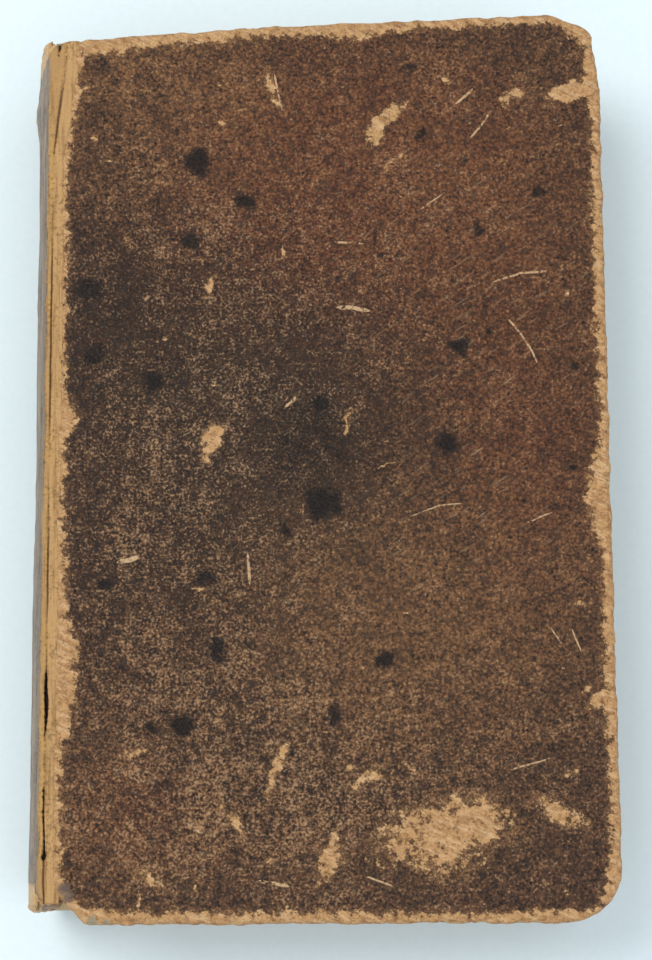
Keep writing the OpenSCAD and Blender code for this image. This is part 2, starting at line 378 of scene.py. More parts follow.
@dataclass
class Recipe:
    """A material being made: its tree, its Object coordinates, and its masks, coats of colour and relief."""

    name: str
    mat: bpy.types.Material = field(init=False)

    def __post_init__(self) -> None:
        """Starts the material with an empty tree."""
        self.mat = bpy.data.materials.new(self.name)
        self.mat.use_nodes = True
        self.tree = self.mat.node_tree
        self.tree.nodes.clear()
        self.place = self.add("TexCoord", {}, "Object")

    def add(self, kind: str, inputs: dict, out: str | int = 0, **settings: object) -> bpy.types.NodeSocket:
        """Adds a node with its settings and links.

        Args:
            kind: Blender's name of the node type, without ShaderNode.
            inputs: A socket's name or number, and the output, hex colour or value that it takes.
            out: The output to return.
            settings: Properties of the node itself.

        Returns:
            The output, or nothing for a node that has none.
        """
        node = self.tree.nodes.new("ShaderNode" + kind)
        for key, value in settings.items():
            setattr(node, key, value)
        if kind.startswith("Tex") and "Vector" in node.inputs and "Vector" not in inputs:
            self.tree.links.new(self.place, node.inputs["Vector"])
        for key, value in inputs.items():
            if isinstance(value, bpy.types.NodeSocket):
                self.tree.links.new(value, node.inputs[key])
            elif isinstance(key, int) or key in node.inputs:
                node.inputs[key].default_value = linear(value) if isinstance(value, str) else value
        return node.outputs[out] if len(node.outputs) else None

    def drawn(self, turn: float, squeeze: tuple[float, float, float],
              **pattern: float) -> bpy.types.NodeSocket:
        """Fractal noise drawn out one way: coordinates turned about Z by degrees, then squeezed."""
        turned = self.add("Mapping", {"Vector": self.place, "Rotation": (0, 0, math.radians(turn))})
        thin = self.add("VectorMath", {0: turned, 1: squeeze}, operation="MULTIPLY")
        return self.add("TexNoise", {"Vector": thin, **pattern})

    def total(self, *terms: tuple[object, object], base: float = 0.0) -> bpy.types.NodeSocket:
        """Sum of products, each of a weight or a mask with a value, plus a fixed number."""
        result = base
        for weight, value in terms:
            result = self.add("Math", {0: value, 1: weight, 2: result}, operation="MULTIPLY_ADD")
        return result

    def mask(self, value: object, low: float, high: float, ragged: object = None,
             reach: float = 0.0) -> object:
        """Smooth step of a value from 0 at low to 1 at high.

        Args:
            value: The value, in mm where it is a distance into a worn or stained place.
            low: Where the mask starts.
            high: Where the mask is full.
            ragged: Noise that pushes the edge in and out.
            reach: How far it does, in the value's own units.

        Returns:
            The mask.
        """
        if ragged is not None:
            value = self.total((1.0, value), (2.6 * reach, ragged), base=-1.3 * reach)
        return self.add("MapRange", {"Value": value, "From Min": low, "From Max": high},
                        interpolation_type="SMOOTHSTEP")

    def paint(self, base: object, *coats: tuple) -> object:
        """Lays coats of colour over one another.

        Args:
            base: The lowest colour, a socket or hex.
            coats: Each one's colour, where it lies, and what share of the colour below it hides, if not all.

        Returns:
            The colour of them all.
        """
        for over, where, *cover in coats:
            share = self.total((cover[0], where)) if cover else where
            base = self.add("Mix", {0: share, 6: base, 7: over}, 2, data_type="RGBA")
        return base

    def relief(self, depth: float, strength: float, *terms: tuple[float, object],
               under: object = None) -> object:
        """Bump of a weighted sum of heights that stands depth mm proud, over an earlier bump."""
        links = {"Height": self.total(*terms), "Distance": depth * M, "Strength": strength}
        return self.add("Bump", links if under is None else {**links, "Normal": under})

    def finish(self, colour: object, rough: object, normal: object, **fixed: float) -> bpy.types.Material:
        """Closes the tree with one Principled shader.

        Args:
            colour: Base colour.
            rough: Roughness, a socket or number.
            normal: The last bump.
            fixed: Other sockets, with underscores for spaces.

        Returns:
            The finished material.
        """
        links = {"Base Color": colour, "Roughness": rough, "Normal": normal}
        links.update({key.replace("_", " "): value for key, value in fixed.items()})
        self.add("OutputMaterial", {0: self.add("BsdfPrincipled", links)})
        return self.mat


@dataclass(frozen=True)
class RubbedCalf:
    """Brown vegetable-tanned calf, sprinkled and glazed long ago, rubbed through to tan where hands hold it.

    To the eye: a dark satin skin with pores, mottled by rubbing, over a suede-like tan layer; shade is painted
    into its pores and hollows and highlights onto its grain.
    """

    name: str = "rubbed_brown_calf"
    deep: str = "3a281c"
    brown: str = "5e412b"
    warm: str = "835d3b"
    red: str = "673720"
    purple: str = "3f2b22"
    # Pale pinkish brown: rubbed patches and strokes, and painted highlight speckles on the grain's tops.
    pale: str = "ad8d6b"
    tan: str = "b38c60"
    tan_light: str = "c9a880"
    tan_dark: str = "8a6543"
    # Near-black: ink stains and sprinkled specks, and painted shade in the pores and the grain's hollows.
    ink_and_shade: str = "0e0a09"
    board: str = "90856c"
    grime: str = "62544c"
    pore: float = 0.8

    def skin(self, r: Recipe, mottle: object, fine: object, grit: object, pores: object) -> object:
        """The skin: dyed tones, with painted shade in the pores and hollows and painted highlights on the tops
        of the grain.

        Args:
            r: The material being made.
            mottle: Noise as large as a fingertip.
            fine: Noise as large as a grain of rice is thick.
            grit: Noise as large as a pore.
            pores: Distance to the nearest pore.

        Returns:
            The colour.
        """
        cloud, blot = r.add("TexNoise", grain(34)), r.add("TexNoise", grain(2.2, 8, 0.8))
        mark = {k: r.add("Attribute", {}, "Fac", attribute_name=k)
                for k in ("tone", "rub", "red", "glow", "purple", "drawn", "stain")}
        value = r.total((0.9, mottle), (0.35, cloud), (1.3, fine), (1.5, grit), (0.26, mark["tone"]),
                        base=-1.42)
        # Painted highlights: this rises on the grain's tops, a little more where the rub mark is high.
        bare_and_highlight = r.total((0.13, mark["rub"]), (1.1, grit), (0.7, fine), (0.35, mottle))
        strokes = r.drawn(-33, (0.14, 1, 1), **grain(0.8, 3, 0.6))
        blotted = r.mask(mark["stain"], -0.7, 0.9, r.total((0.7, blot), (0.3, fine)), 3.0)
        specks = r.mask(r.add("TexVoronoi", grain(2.7, 0)), 0.17, 0.07)
        return r.paint(
            self.deep,
            (self.brown, r.mask(value, 0.36, 0.78)),
            (self.warm, r.mask(value, 0.66, 1.2)),
            (self.red, r.mask(mark["red"], 0.0, 1.0), 0.5),
            (self.purple, r.mask(mark["purple"], 0.0, 1.0), 0.4),
            (self.warm, r.mask(mark["glow"], 0.0, 1.0), 0.35),
            # Painted shade: near-black in the pores and the grain's hollows.
            (self.ink_and_shade, r.mask(pores, 0.42, 0.7), 0.55),
            (self.ink_and_shade, r.mask(r.total((0.5, fine), (0.5, grit)), 0.49, 0.36), 0.8),
            # Painted highlights: pale speckles on the grain's tops.
            (self.pale, r.mask(bare_and_highlight, 1.17, 1.47), 0.62),
            (self.pale, r.total((r.mask(blot, 0.54, 0.68), r.mask(mark["rub"], 0.2, 1.1))), 0.3),
            (self.pale, r.total((r.mask(strokes, 0.58, 0.74), mark["drawn"])), 0.4),
            (self.ink_and_shade, blotted, 0.93),
            (self.ink_and_shade, r.total((specks, r.mask(mottle, 0.44, 0.56))), 0.85))

    def flesh(self, r: Recipe, grit: object) -> object:
        """The suede-like layer under the skin, from dark to light tan with a few fibres of skin left."""
        fibres = r.drawn(25, (0.2, 1, 1), **grain(0.7, 5, 0.7))
        return r.paint(
            self.tan_dark,
            (self.tan, r.mask(r.add("TexNoise", grain(1.6, 7, 0.75)), 0.36, 0.6)),
            (self.tan_light, r.mask(fibres, 0.46, 0.66), 0.7),
            (self.brown, r.mask(grit, 0.56, 0.7), 0.5))

    def make(self) -> bpy.types.Material:
        """Builds the material: skin, worn patches, scratches, bare board, and the relief of them all."""
        r = Recipe(self.name)
        mottle, fine = r.add("TexNoise", grain(7, 6, 0.62)), r.add("TexNoise", grain(1.5, 6, 0.7))
        grit, pores = r.add("TexNoise", grain(0.5, 3, 0.6)), r.add("TexVoronoi", grain(self.pore, 0))
        tatter, nibble = r.add("TexNoise", grain(3.2, 9, 0.78)), r.add("TexNoise", grain(1.6, 8, 0.8))
        mark = {k: r.add("Attribute", {}, "Fac", attribute_name=k)
                for k in ("wear", "scratch", "scratch_half", "bare_and_highlight", "grime")}
        stretched = r.drawn(40, (0.22, 1, 1), **grain(0.9, 4, 0.7))
        wear = r.mask(mark["wear"], -0.22, 0.22, r.total((0.5, tatter), (0.3, nibble), (0.2, stretched)), 4.2)
        side = r.total((1.0, mark["scratch"]), (0.5, fine), base=-0.25)
        off = r.add("Math", {0: side}, operation="ABSOLUTE")
        cut = r.mask(r.total((1.0, off), (-1.0, mark["scratch_half"])), 0.05, -0.07)
        cut = r.total((cut, r.mask(r.add("TexNoise", grain(0.9, 3, 0.6)), 0.36, 0.5)))
        colour = r.paint(
            self.skin(r, mottle, fine, grit, pores),
            (self.tan_dark, r.mask(mark["wear"], -1.2, 0.9, nibble, 3.2), 0.45),
            (self.flesh(r, grit), wear),
            (self.tan_light, cut, 0.72),
            (self.board, r.mask(mark["bare_and_highlight"], -0.2, 0.2, tatter, 1.0)),
            (self.grime, r.mask(mark["grime"], -0.3, 0.3, tatter, 1.6), 0.85))
        rough = r.total((0.3, wear), (0.22, fine), base=0.44)
        normal = r.relief(0.26, 1.0, (-0.8, r.mask(pores, 0.2, 0.75)), (0.9, grit))
        normal = r.relief(0.16, 0.7, (1.0, mottle), (-0.9, wear), under=normal)
        normal = r.relief(0.1, 0.5, (-1.0, cut), under=normal)
        return r.finish(colour, rough, normal, Specular_IOR_Level=0.2, IOR=1.5)


@dataclass(frozen=True)
class JointCalf:
    """The same calf where it bends: bare golden tan, polished by folding, with creases and dark splits."""

    name: str = "bent_tan_calf"
    gold: str = "b18a4e"
    tan: str = "a17d50"
    shade: str = "7d5b31"
    flesh: str = "b18c5d"
    old: str = "857562"
    dark: str = "4a3421"
    split: str = "0d0a09"

    def make(self) -> bpy.types.Material:
        """Builds the material: lengthwise streaks, creases, rubbed skin left in patches, and splits."""
        r = Recipe(self.name)
        streak = r.drawn(0, (1, 0.06, 1), **grain(0.8, 4, 0.62))
        mottle, fine = r.add("TexNoise", grain(5, 5, 0.65)), r.add("TexNoise", grain(0.6, 4, 0.65))
        mark = {k: r.add("Attribute", {}, "Fac", attribute_name=k)
                for k in ("crease", "skin", "crack", "flesh")}
        old = r.paint(self.old, (self.dark, r.mask(r.total((0.6, streak), (0.4, fine)), 0.42, 0.64), 0.7))
        crack = r.mask(mark["crack"], -0.09, 0.09, fine, 0.3)
        colour = r.paint(
            self.tan,
            (self.gold, r.mask(mottle, 0.34, 0.66)),
            (self.flesh, mark["flesh"], 0.8),
            (self.shade, r.mask(streak, 0.48, 0.64), 0.55),
            (self.dark, r.mask(r.total((0.6, fine), (0.4, mottle)), 0.5, 0.62), 0.5),
            (self.flesh, r.mask(fine, 0.44, 0.34), 0.6),
            (self.dark, r.mask(mark["crease"], 0.15, 0.8, fine, 0.4), 0.85),
            (old, r.mask(mark["skin"], -0.2, 0.2, r.add("TexNoise", grain(2.2, 8, 0.75)), 1.4)),
            (self.split, crack))
        normal = r.relief(0.22, 0.9, (1.0, streak), (1.3, fine), (-1.0, mark["crease"]))
        normal = r.relief(0.3, 0.8, (-1.0, crack), under=normal)
        return r.finish(colour, 0.55, normal, Specular_IOR_Level=0.25, IOR=1.5)


@dataclass(frozen=True)
class SpineCalf:
    """Calf over the spine, grey-brown, with lengthwise wrinkles; painted lighter overall and grey on the
    wrinkles' tops, a painted sheen in place of the glancing reflection of the bright room.
    """

    name: str = "spine_calf_painted_sheen"
    brown: str = "7a6450"
    # Painted sheen: grey laid on the wrinkles' tops.
    grey: str = "a19381"
    tan: str = "ac8759"
    tan_light: str = "c09c6a"
    dark: str = "4a382a"

    def make(self) -> bpy.types.Material:
        """Builds the material: skin painted lighter, with a painted grey sheen on wrinkles along the spine, and
        rubbed tan at ends and edges.
        """
        r = Recipe(self.name)
        wrinkle = r.drawn(0, (1, 0.12, 1), **grain(1.6, 5, 0.66))
        mottle, fine = r.add("TexNoise", grain(9, 6, 0.65)), r.add("TexNoise", grain(1.0, 6, 0.7))
        worn = r.add("Attribute", {}, "Fac", attribute_name="wear")
        rubbed = r.paint(self.tan, (self.tan_light, r.mask(fine, 0.35, 0.65)))
        wear = r.mask(worn, -0.18, 0.18, r.add("TexNoise", grain(3.0, 9, 0.78)), 2.0)
        colour = r.paint(
            self.dark,
            (self.brown, r.mask(mottle, 0.3, 0.6)),
            # Painted sheen: grey on the tops of the wrinkles, standing in for a glancing reflection.
            (self.grey, r.mask(r.total((0.6, wrinkle), (0.4, fine)), 0.42, 0.66), 0.6),
            (self.dark, r.mask(r.add("TexVoronoi", grain(0.75, 0)), 0.45, 0.1), 0.4),
            (rubbed, wear))
        normal = r.relief(0.3, 0.7, (1.0, wrinkle), (0.5, fine))
        normal = r.relief(0.12, 0.6, (-1.0, wear), under=normal)
        return r.finish(colour, 0.52, normal, Specular_IOR_Level=0.5, IOR=1.5)


@dataclass(frozen=True)
class RagPaper:
    """Hand-made rag paper gone the colour of tea, with laid lines, foxing and dusty edges."""

    name: str
    sheet: str
    shade: str
    edge: str
    fox: str = "a5713f"

    def make(self) -> bpy.types.Material:
        """Builds the material: cloudy tone, laid lines, foxing spots and a darker dusty edge."""
        r = Recipe(self.name)
        cloud, fibre = r.add("TexNoise", grain(22, 5, 0.6)), r.add("TexNoise", grain(0.7, 5, 0.7))
        rim = r.add("Attribute", {}, "Fac", attribute_name="rim")
        spots = r.mask(r.add("TexVoronoi", grain(13, 0)), 0.16, 0.05)
        foxed = r.total((spots, r.mask(r.add("TexNoise", grain(9)), 0.5, 0.62)))
        colour = r.paint(
            self.sheet,
            (self.shade, r.mask(cloud, 0.35, 0.68)),
            (self.fox, foxed, 0.55),
            (self.edge, r.mask(rim, 0.0, 1.0, fibre, 0.3), 0.6),
            (self.edge, r.mask(fibre, 0.55, 0.75), 0.25))
        laid = r.drawn(0, (0.02, 1, 1), **grain(0.9, 2, 0.5))
        normal = r.relief(0.05, 0.5, (0.6, laid), (1.0, fibre))
        return r.finish(colour, 0.86, normal, Specular_IOR_Level=0.25, IOR=1.5)


@dataclass(frozen=True)
class PlainFibre:
    """A matt hidden stuff, such as pasteboard, hemp or glued lining paper, as one two-toned fibre pattern."""

    name: str
    light: str
    dark: str
    fibre: float
    turn: float = 0.0
    squeeze: tuple[float, float, float] = (1.0, 1.0, 1.0)
    depth: float = 0.15

    def make(self) -> bpy.types.Material:
        """Builds the material: fibres of two tones, drawn out one way, with a soft bump."""
        r = Recipe(self.name)
        fibre = r.drawn(self.turn, self.squeeze, **grain(self.fibre, 6, 0.7))
        colour = r.paint(self.dark, (self.light, r.mask(fibre, 0.35, 0.65)),
                         (self.dark, r.mask(r.add("TexNoise", grain(8)), 0.4, 0.7), 0.35))
        normal = r.relief(self.depth, 0.7, (1.0, fibre))
        return r.finish(colour, 0.88, normal, Specular_IOR_Level=0.25, IOR=1.5)


@dataclass(frozen=True)
class BandSilk:
    """Silk thread wound tightly over a core, faded from red-brown and cream; each turn is one stripe."""

    name: str = "faded_band_silk"
    one: str = "6d3b27"
    two: str = "b39a74"
    dust: str = "4a3324"

    def make(self) -> bpy.types.Material:
        """Builds the material: stripes from the piece's own turn count, with a thread sheen."""
        r = Recipe(self.name)
        fibre = r.add("TexNoise", grain(0.25, 3, 0.6))
        turn = r.add("Attribute", {}, "Fac", attribute_name="turn")
        colour = r.paint(self.one, (self.two, r.mask(turn, 0.45, 0.55)),
                         (self.dust, r.mask(fibre, 0.4, 0.7), 0.35))
        normal = r.relief(0.04, 0.5, (1.0, fibre))
        return r.finish(colour, 0.5, normal, Specular_IOR_Level=0.4, Sheen_Weight=0.3)


class Finish(Enum):
    """Every finish on the book."""

    CALF = RubbedCalf()
    JOINT = JointCalf()
    SPINE = SpineCalf()
    PAPER = RagPaper("aged_rag_paper", "cdbb94", "bfa97e", "93795a")
    END = RagPaper("toned_endpaper", "bda781", "a88f68", "7d6346")
    BOARD = PlainFibre("rag_pasteboard", "a79a86", "7f7260", 1.6)
    HEMP = PlainFibre("hemp_cord_fibre", "b49b72", "7d6443", 0.5, 35.0, (1.0, 0.2, 1.0))
    LINING = PlainFibre("glued_lining_paper", "9c8762", "6f5a3d", 0.9)
    SILK = BandSilk()


@dataclass
class Wardrobe:
    """Makes each finish once and puts it on pieces."""

    made: dict[Finish, bpy.types.Material] = field(default_factory=dict)

    def dress(self, obj: bpy.types.Object, finish: Finish) -> None:
        """Puts a finish on every slot of an object, making it first if need be."""
        if finish not in self.made:
            self.made[finish] = finish.value.make()
        if not obj.material_slots:
            obj.data.materials.append(self.made[finish])
        for one in obj.material_slots:
            one.material = self.made[finish]


WARDROBE = Wardrobe()


# ---------------------------------------------------------------- covers
@dataclass(frozen=True)
class Scuff:
    """A place where the skin is rubbed away: middle, half length and width, turn in degrees, and depth."""

    x: float
    y: float
    long: float
    wide: float
    turn: float
    level: float

    def field(self, x: np.ndarray, y: np.ndarray) -> np.ndarray:
        """Wear in mm: level inside, falling smoothly to -3 at about twice the scuff's size."""
        c, s = math.cos(math.radians(self.turn)), math.sin(math.radians(self.turn))
        dx, dy = x - self.x, y - self.y
        rho = np.hypot((dx * c + dy * s) / self.long, (dy * c - dx * s) / self.wide)
        return self.level - (self.level + 3) * ease((rho - 0.4) / 1.8)


@dataclass(frozen=True)
class Scratch:
    """A thin line cut through the skin, through a few points, with its width."""

    points: tuple[tuple[float, float], ...]
    wide: float


@dataclass(frozen=True)
class Glow:
    """A soft cloud of one tone: middle, half width and half height, and strength."""

    mark: str
    x: float
    y: float
    rx: float
    ry: float
    level: float


@dataclass(frozen=True)
class WearMap:
    """Everything that time has done to one cover, as fields over x and y.

    The scuffs, scratches and stains have a y of their own, stretch times the cover's and slid by slide mm.
    """

    corners: tuple[tuple[float, float, float], ...]
    joint_band: tuple[tuple[float, float], ...]
    fore_band: tuple[tuple[float, float], ...]
    head_band: tuple[tuple[float, float], ...]
    tail_band: tuple[tuple[float, float], ...]
    scuffs: tuple[Scuff, ...] = ()
    scratches: tuple[Scratch, ...] = ()
    stains: tuple[tuple[float, float, float, float], ...] = ()
    bare_and_highlight: tuple[tuple[float, float, float], ...] = ()
    grime: tuple[tuple[float, float, float], ...] = ()
    glows: tuple[Glow, ...] = ()
    flecks: int = 90
    seed: int = 4
    stretch: float = 1.0
    slide: float = 0.0

    def edge(self, x: np.ndarray, y: np.ndarray) -> np.ndarray:
        """Distance in from the nearest straight edge of the outline, less than 0 outside it."""
        ring = np.array([c[:2] for c in self.corners])
        on = np.roll(ring, -1, 0) - ring
        on /= np.linalg.norm(on, axis=1)[:, None]
        far = [on[i, 0] * (y - ring[i, 1]) - on[i, 1] * (x - ring[i, 0]) for i in range(len(ring))]
        return np.min(far, axis=0)

    def worn(self, x: np.ndarray, y: np.ndarray) -> np.ndarray:
        """Wear in mm: the rubbed border, whose width changes along each side, and every scuff and fleck."""
        ring = np.array(sorted(c[:2] for c in self.corners))
        head, tail = ring[ring[:, 1] > 0].T, ring[ring[:, 1] < 0].T
        sides = ((self.joint_band, y, x - ring[0, 0]), (self.fore_band, y, ring[-1, 0] - x),
                 (self.head_band, x, np.interp(x, *head) - y), (self.tail_band, x, y - np.interp(x, *tail)))
        bands = [np.interp(at, *np.array(band).T) - far for band, at, far in sides]
        bands.append(2.0 - self.edge(x, y))
        u, v = self.warp(x, y, 1.4, 5.5, 71), self.own(self.warp(y, x, 1.4, 5.5, 72))
        spots = [s.field(u, v) for s in self.scuffs + self.loose_flecks()]
        return np.max(bands + spots, axis=0)

    def own(self, y: np.ndarray) -> np.ndarray:
        """The cover's y as the marks' own y."""
        return self.stretch * y + self.slide

    @staticmethod
    def warp(a: np.ndarray, b: np.ndarray, by: float, size: float, seed: int) -> np.ndarray:
        """One coordinate pushed about by two octaves of noise, so that round fields turn ragged."""
        return a + by * value_noise(a, b, size, seed) + 0.4 * by * value_noise(a, b, size / 3, seed + 5)

    def loose_flecks(self) -> tuple[Scuff, ...]:
        """Small chips scattered at random, thicker towards the tail and the joint."""
        draw = np.random.default_rng(self.seed)
        x, y = 4 + 100 * draw.random(self.flecks) ** 1.3, -84 + 166 * draw.random(self.flecks) ** 1.5
        long, wide = draw.uniform(0.5, 1.7, self.flecks), draw.uniform(0.25, 0.6, self.flecks)
        turn, level = draw.uniform(0, 180, self.flecks), draw.uniform(-0.5, 0.6, self.flecks)
        return tuple(Scuff(*row) for row in zip(*(v.tolist() for v in (x, y, long, wide, turn, level))))

    def cut(self, x: np.ndarray, y: np.ndarray) -> tuple[np.ndarray, np.ndarray]:
        """Signed distance across the nearest scratch, and its half width, which fades at its ends."""
        near, across, half = np.full(x.shape, 9.0), np.full(x.shape, 9.0), np.full(x.shape, -1.0)
        for one in self.scratches:
            line = np.array(one.points)
            total = len(line) - 1
            for k in range(total):
                a, on = line[k], line[k + 1] - line[k]
                length = float(np.linalg.norm(on))
                t = ((x - a[0]) * on[0] + (y - a[1]) * on[1]) / length ** 2
                side = ((x - a[0]) * on[1] - (y - a[1]) * on[0]) / length
                inside = np.clip(t, 0, 1)
                far = np.hypot(x - a[0] - inside * on[0], y - a[1] - inside * on[1])
                ends = (k + inside) / total
                taper = ease(ends * 4) * ease((1 - ends) * 4)
                fade = ease((2.2 - far) / 1.2)
                best = far < near
                near = np.where(best, far, near)
                across = np.where(best, side, across)
                half = np.where(best, (one.wide / 2) * taper * fade - 0.25 * (1 - taper * fade), half)
        return np.clip(across, -4, 4), half

    def marks(self, x: np.ndarray, y: np.ndarray, inner: np.ndarray) -> dict[str, np.ndarray]:
        """Every field at once.

        Args:
            x: Place of each point.
            y: Place of each point.
            inner: 1 on the turned-in leather inside the cover, 0 outside.

        Returns:
            The fields by name.
        """
        across, half = self.cut(x, self.own(y))
        u, v = self.warp(x, y, 0.9, 2.4, 81), self.own(self.warp(y, x, 0.9, 2.4, 82))
        stain = [level - (level + 1.8) * ease((np.hypot(u - a, v - b) / r - 0.3) / 1.4)
                 for a, b, r, level in self.stains]
        out = {"wear": self.worn(x, y), "stain": np.max(stain, axis=0),
               "scratch": across, "scratch_half": half}
        for key in ("bare_and_highlight", "grime"):
            blobs = [r - np.hypot(x - a, y - b) for a, b, r in getattr(self, key)]
            out[key] = np.clip(np.max(blobs, axis=0), -3, 3) if blobs else np.full(x.shape, -3.0)
        for key in ("tone", "rub", "red", "glow", "purple", "drawn"):
            out[key] = sum((g.level * np.exp(-((x - g.x) / g.rx) ** 2 - ((y - g.y) / g.ry) ** 2)
                            for g in self.glows if g.mark == key), np.zeros(x.shape))
        quiet = {"wear": -3.0, "stain": -1.8, "scratch_half": -1.0, "bare_and_highlight": -3.0, "grime": -3.0}
        for key, level in quiet.items():
            out[key] = out[key] * (1 - inner) + level * inner
        return out


def rows_of(kind: type, *rows: tuple) -> tuple:
    """One object of a kind from each row of its values."""
    return tuple(kind(*row) for row in rows)


FRONT_WEAR = WearMap(
    corners=((1.6, -79.3, 1.5), (8.6, -86.1, 2.5), (105.9, -86.3, 10), (106.3, 72, 30), (104.9, 84.2, 3.5),
        (97, 87.5, 4.5), (44, 85.6, 60), (6.5, 83.1, 4), (1.6, 80.3, 2)),
    joint_band=((-86, 4), (-80, 3.6), (-75, 2.4), (-60, 2.2), (-53, 2.6), (-49, 4.2), (-36, 5.2),
        (-30, 3.2), (-10, 2), (3, 2.2), (8, 4.8), (12, 2.2), (34, 1.6), (52, 2), (62, 2.6), (70, 3.6),
        (80, 4.6), (86, 5)),
    fore_band=((-86, 4), (-80, 3.4), (-66, 1.6), (-55, 1.4), (-48, 2.8), (-38, 1.6), (-20, 2.4), (-8, 5),
        (0, 3.2), (5, 0.8), (20, 0.5), (50, 1), (66, 1.8), (74, 3), (82, 3), (86, 4)),
    head_band=((0, 4), (8, 3.4), (20, 2.8), (40, 2.2), (52, 2.6), (60, 3.8), (66, 2.2), (80, 1.4),
        (96, 1.4), (101, 3), (106, 4)),
    tail_band=((0, 2.5), (8, 3), (20, 2.2), (40, 2), (50, 1.8), (65, 1.6), (80, 1.8), (95, 1.6),
        (106, 3.5)),
    scuffs=rows_of(Scuff, (44, 73, 4.5, 0.9, 105, 0.4), (64.5, 66.5, 5, 1.3, 40, 0.9),
        (66.5, 59.5, 2.5, 0.8, 50, 0.4), (89.5, 71.5, 3, 1, 20, 0.3), (100.5, 72, 5.5, 2.2, 8, 1.2),
        (31.5, 3.5, 3.6, 2, 60, 0.9), (73.5, -70, 13, 6.5, 10, 0.5), (77, -69.5, 7, 4, 5, 1.1),
        (53.5, -74, 5, 2.2, 60, 0.5), (95, -66, 6, 1.8, -35, 0.5), (20.5, -77.5, 4, 0.9, -35, 0.5),
        (43, -58.5, 6, 1.1, 75, 0.3), (103, -46.5, 2.6, 1.4, 20, 0.8), (32, 33.5, 2.6, 1.1, 50, 0.1),
        (17, -55, 3, 1.2, 30, 0.0), (36, -68, 5, 1.0, -50, 0.2), (60, -60, 5, 1.4, 45, 0.1),
        (12, 60, 1.6, 0.8, 20, 0.4)),
    scratches=rows_of(Scratch, (((82.5, 74), (80, 71.5), (77.5, 69.5)), 0.5),
        (((86, 70), (83, 65.5), (80, 62)), 0.4), (((53.5, 42.5), (61.5, 42)), 0.4),
        (((54, 29.5), (58, 29.4), (62.5, 28.5)), 0.8), (((82.5, 33.5), (90, 36), (97.5, 36.5)), 0.4),
        (((85.5, 29.5), (89.5, 24.5), (92, 20.5), (93.5, 16.5)), 0.4), (((44.5, 9.5), (48.5, 13)), 0.5),
        (((13, -19.5), (16, -19), (18.5, -18)), 0.9), (((38, -16.5), (38.5, -25)), 0.5),
        (((93.5, -31.5), (96.5, -36)), 0.3), (((97.5, -31.5), (100, -38)), 0.3),
        (((39, -78), (46.5, -79.5)), 0.6), (((19, -76.5), (23.5, -79.5)), 0.5), (((43, 78), (45, 68)), 0.4),
        (((26.5, -67.5), (30, -70)), 0.35), (((89, -13), (96, -10)), 0.3),
        (((66, -12), (74, -9), (80, -8.6)), 0.3), (((70, 48), (77, 53)), 0.25),
        (((58, -77), (66, -80)), 0.35), (((84, -59), (95, -56)), 0.3)),
    stains=((49, 2, 13, 0.0), (12, 32, 9, -0.2), (22, 16, 7, -0.3), (30, -36, 7, -0.4), (28, 59, 3.0, 1.2),
        (38, 51, 2.2, 1.2), (27, 43, 2.2, 1.0), (40.5, 42.5, 0.6, 0.9), (8, 33.5, 3.4, 0.8),
        (9.5, 20.5, 2.5, 0.7), (20, 15, 2.2, 1.0), (51.5, 11, 1.9, 1.4), (52, -8.5, 3.6, 1.4),
        (45.5, -13.5, 1.5, 1.0), (76, 2.5, 2.8, 0.9), (78, 21.5, 2.0, 1.0), (83, 24.5, 0.9, 0.8),
        (82, 45, 1.7, 1.0), (30.5, -22.5, 2.1, 0.8), (12, -23.5, 1.7, 1.0), (32.5, -36, 2.4, 1.0),
        (26.5, -50.5, 2.1, 1.6), (20.5, -50.5, 1.6, 1.2), (45.5, -55, 1.1, 1.0), (63.5, -38, 2.0, 1.2),
        (54, -47.5, 2.6, 0.6), (100, 18.5, 1.4, 1.0), (86.4, -8.5, 0.55, 1.2), (88, -8.4, 0.5, 1.2),
        (89.6, -8.6, 0.5, 1.2), (99, -2.5, 0.7, 1.1), (97, 1, 0.6, 1.1), (94, 52, 1.4, 0.8),
        (63.5, 40.5, 0.6, 0.8), (71.5, 63.5, 1.2, 0.9), (69.5, 77.5, 1.2, 0.8)),
    bare_and_highlight=((10.0, -85.3, 0.9), (12.4, -85.6, 0.6), (104.3, 80.5, 0.5)),
    grime=((4.6, -79.6, 1.1), (5.6, -81.2, 1.1)),
    glows=rows_of(Glow, ("red", 62, 55, 38, 28, 1.1), ("red", 90, 5, 20, 36, 0.7),
        ("red", 16, -66, 14, 12, 0.5), ("glow", 62, -30, 28, 24, 0.9), ("glow", 80, 45, 30, 40, 0.35),
        ("purple", 55, -84, 70, 12, 0.8), ("purple", 102, -50, 12, 40, 0.7), ("purple", 4, 10, 8, 70, 0.6),
        ("tone", 70, 62, 40, 26, 0.5), ("tone", 45, 32, 20, 20, -0.6), ("tone", 62, -35, 30, 30, 0.1),
        ("tone", 14, -5, 22, 50, -0.5), ("tone", 47, 2, 16, 20, -1.6), ("tone", 12, 30, 10, 16, -0.8),
        ("tone", 22, 72, 30, 22, 0.8), ("tone", 98, -20, 20, 50, 0.5), ("tone", 24, -72, 34, 20, 0.7),
        ("rub", 28, -5, 32, 60, 0.9), ("rub", 50, -65, 50, 22, 0.8), ("rub", 70, 50, 30, 30, 0.3),
        ("drawn", 84, 10, 32, 60, 1.0)),
    stretch=1.0055, slide=0.64)

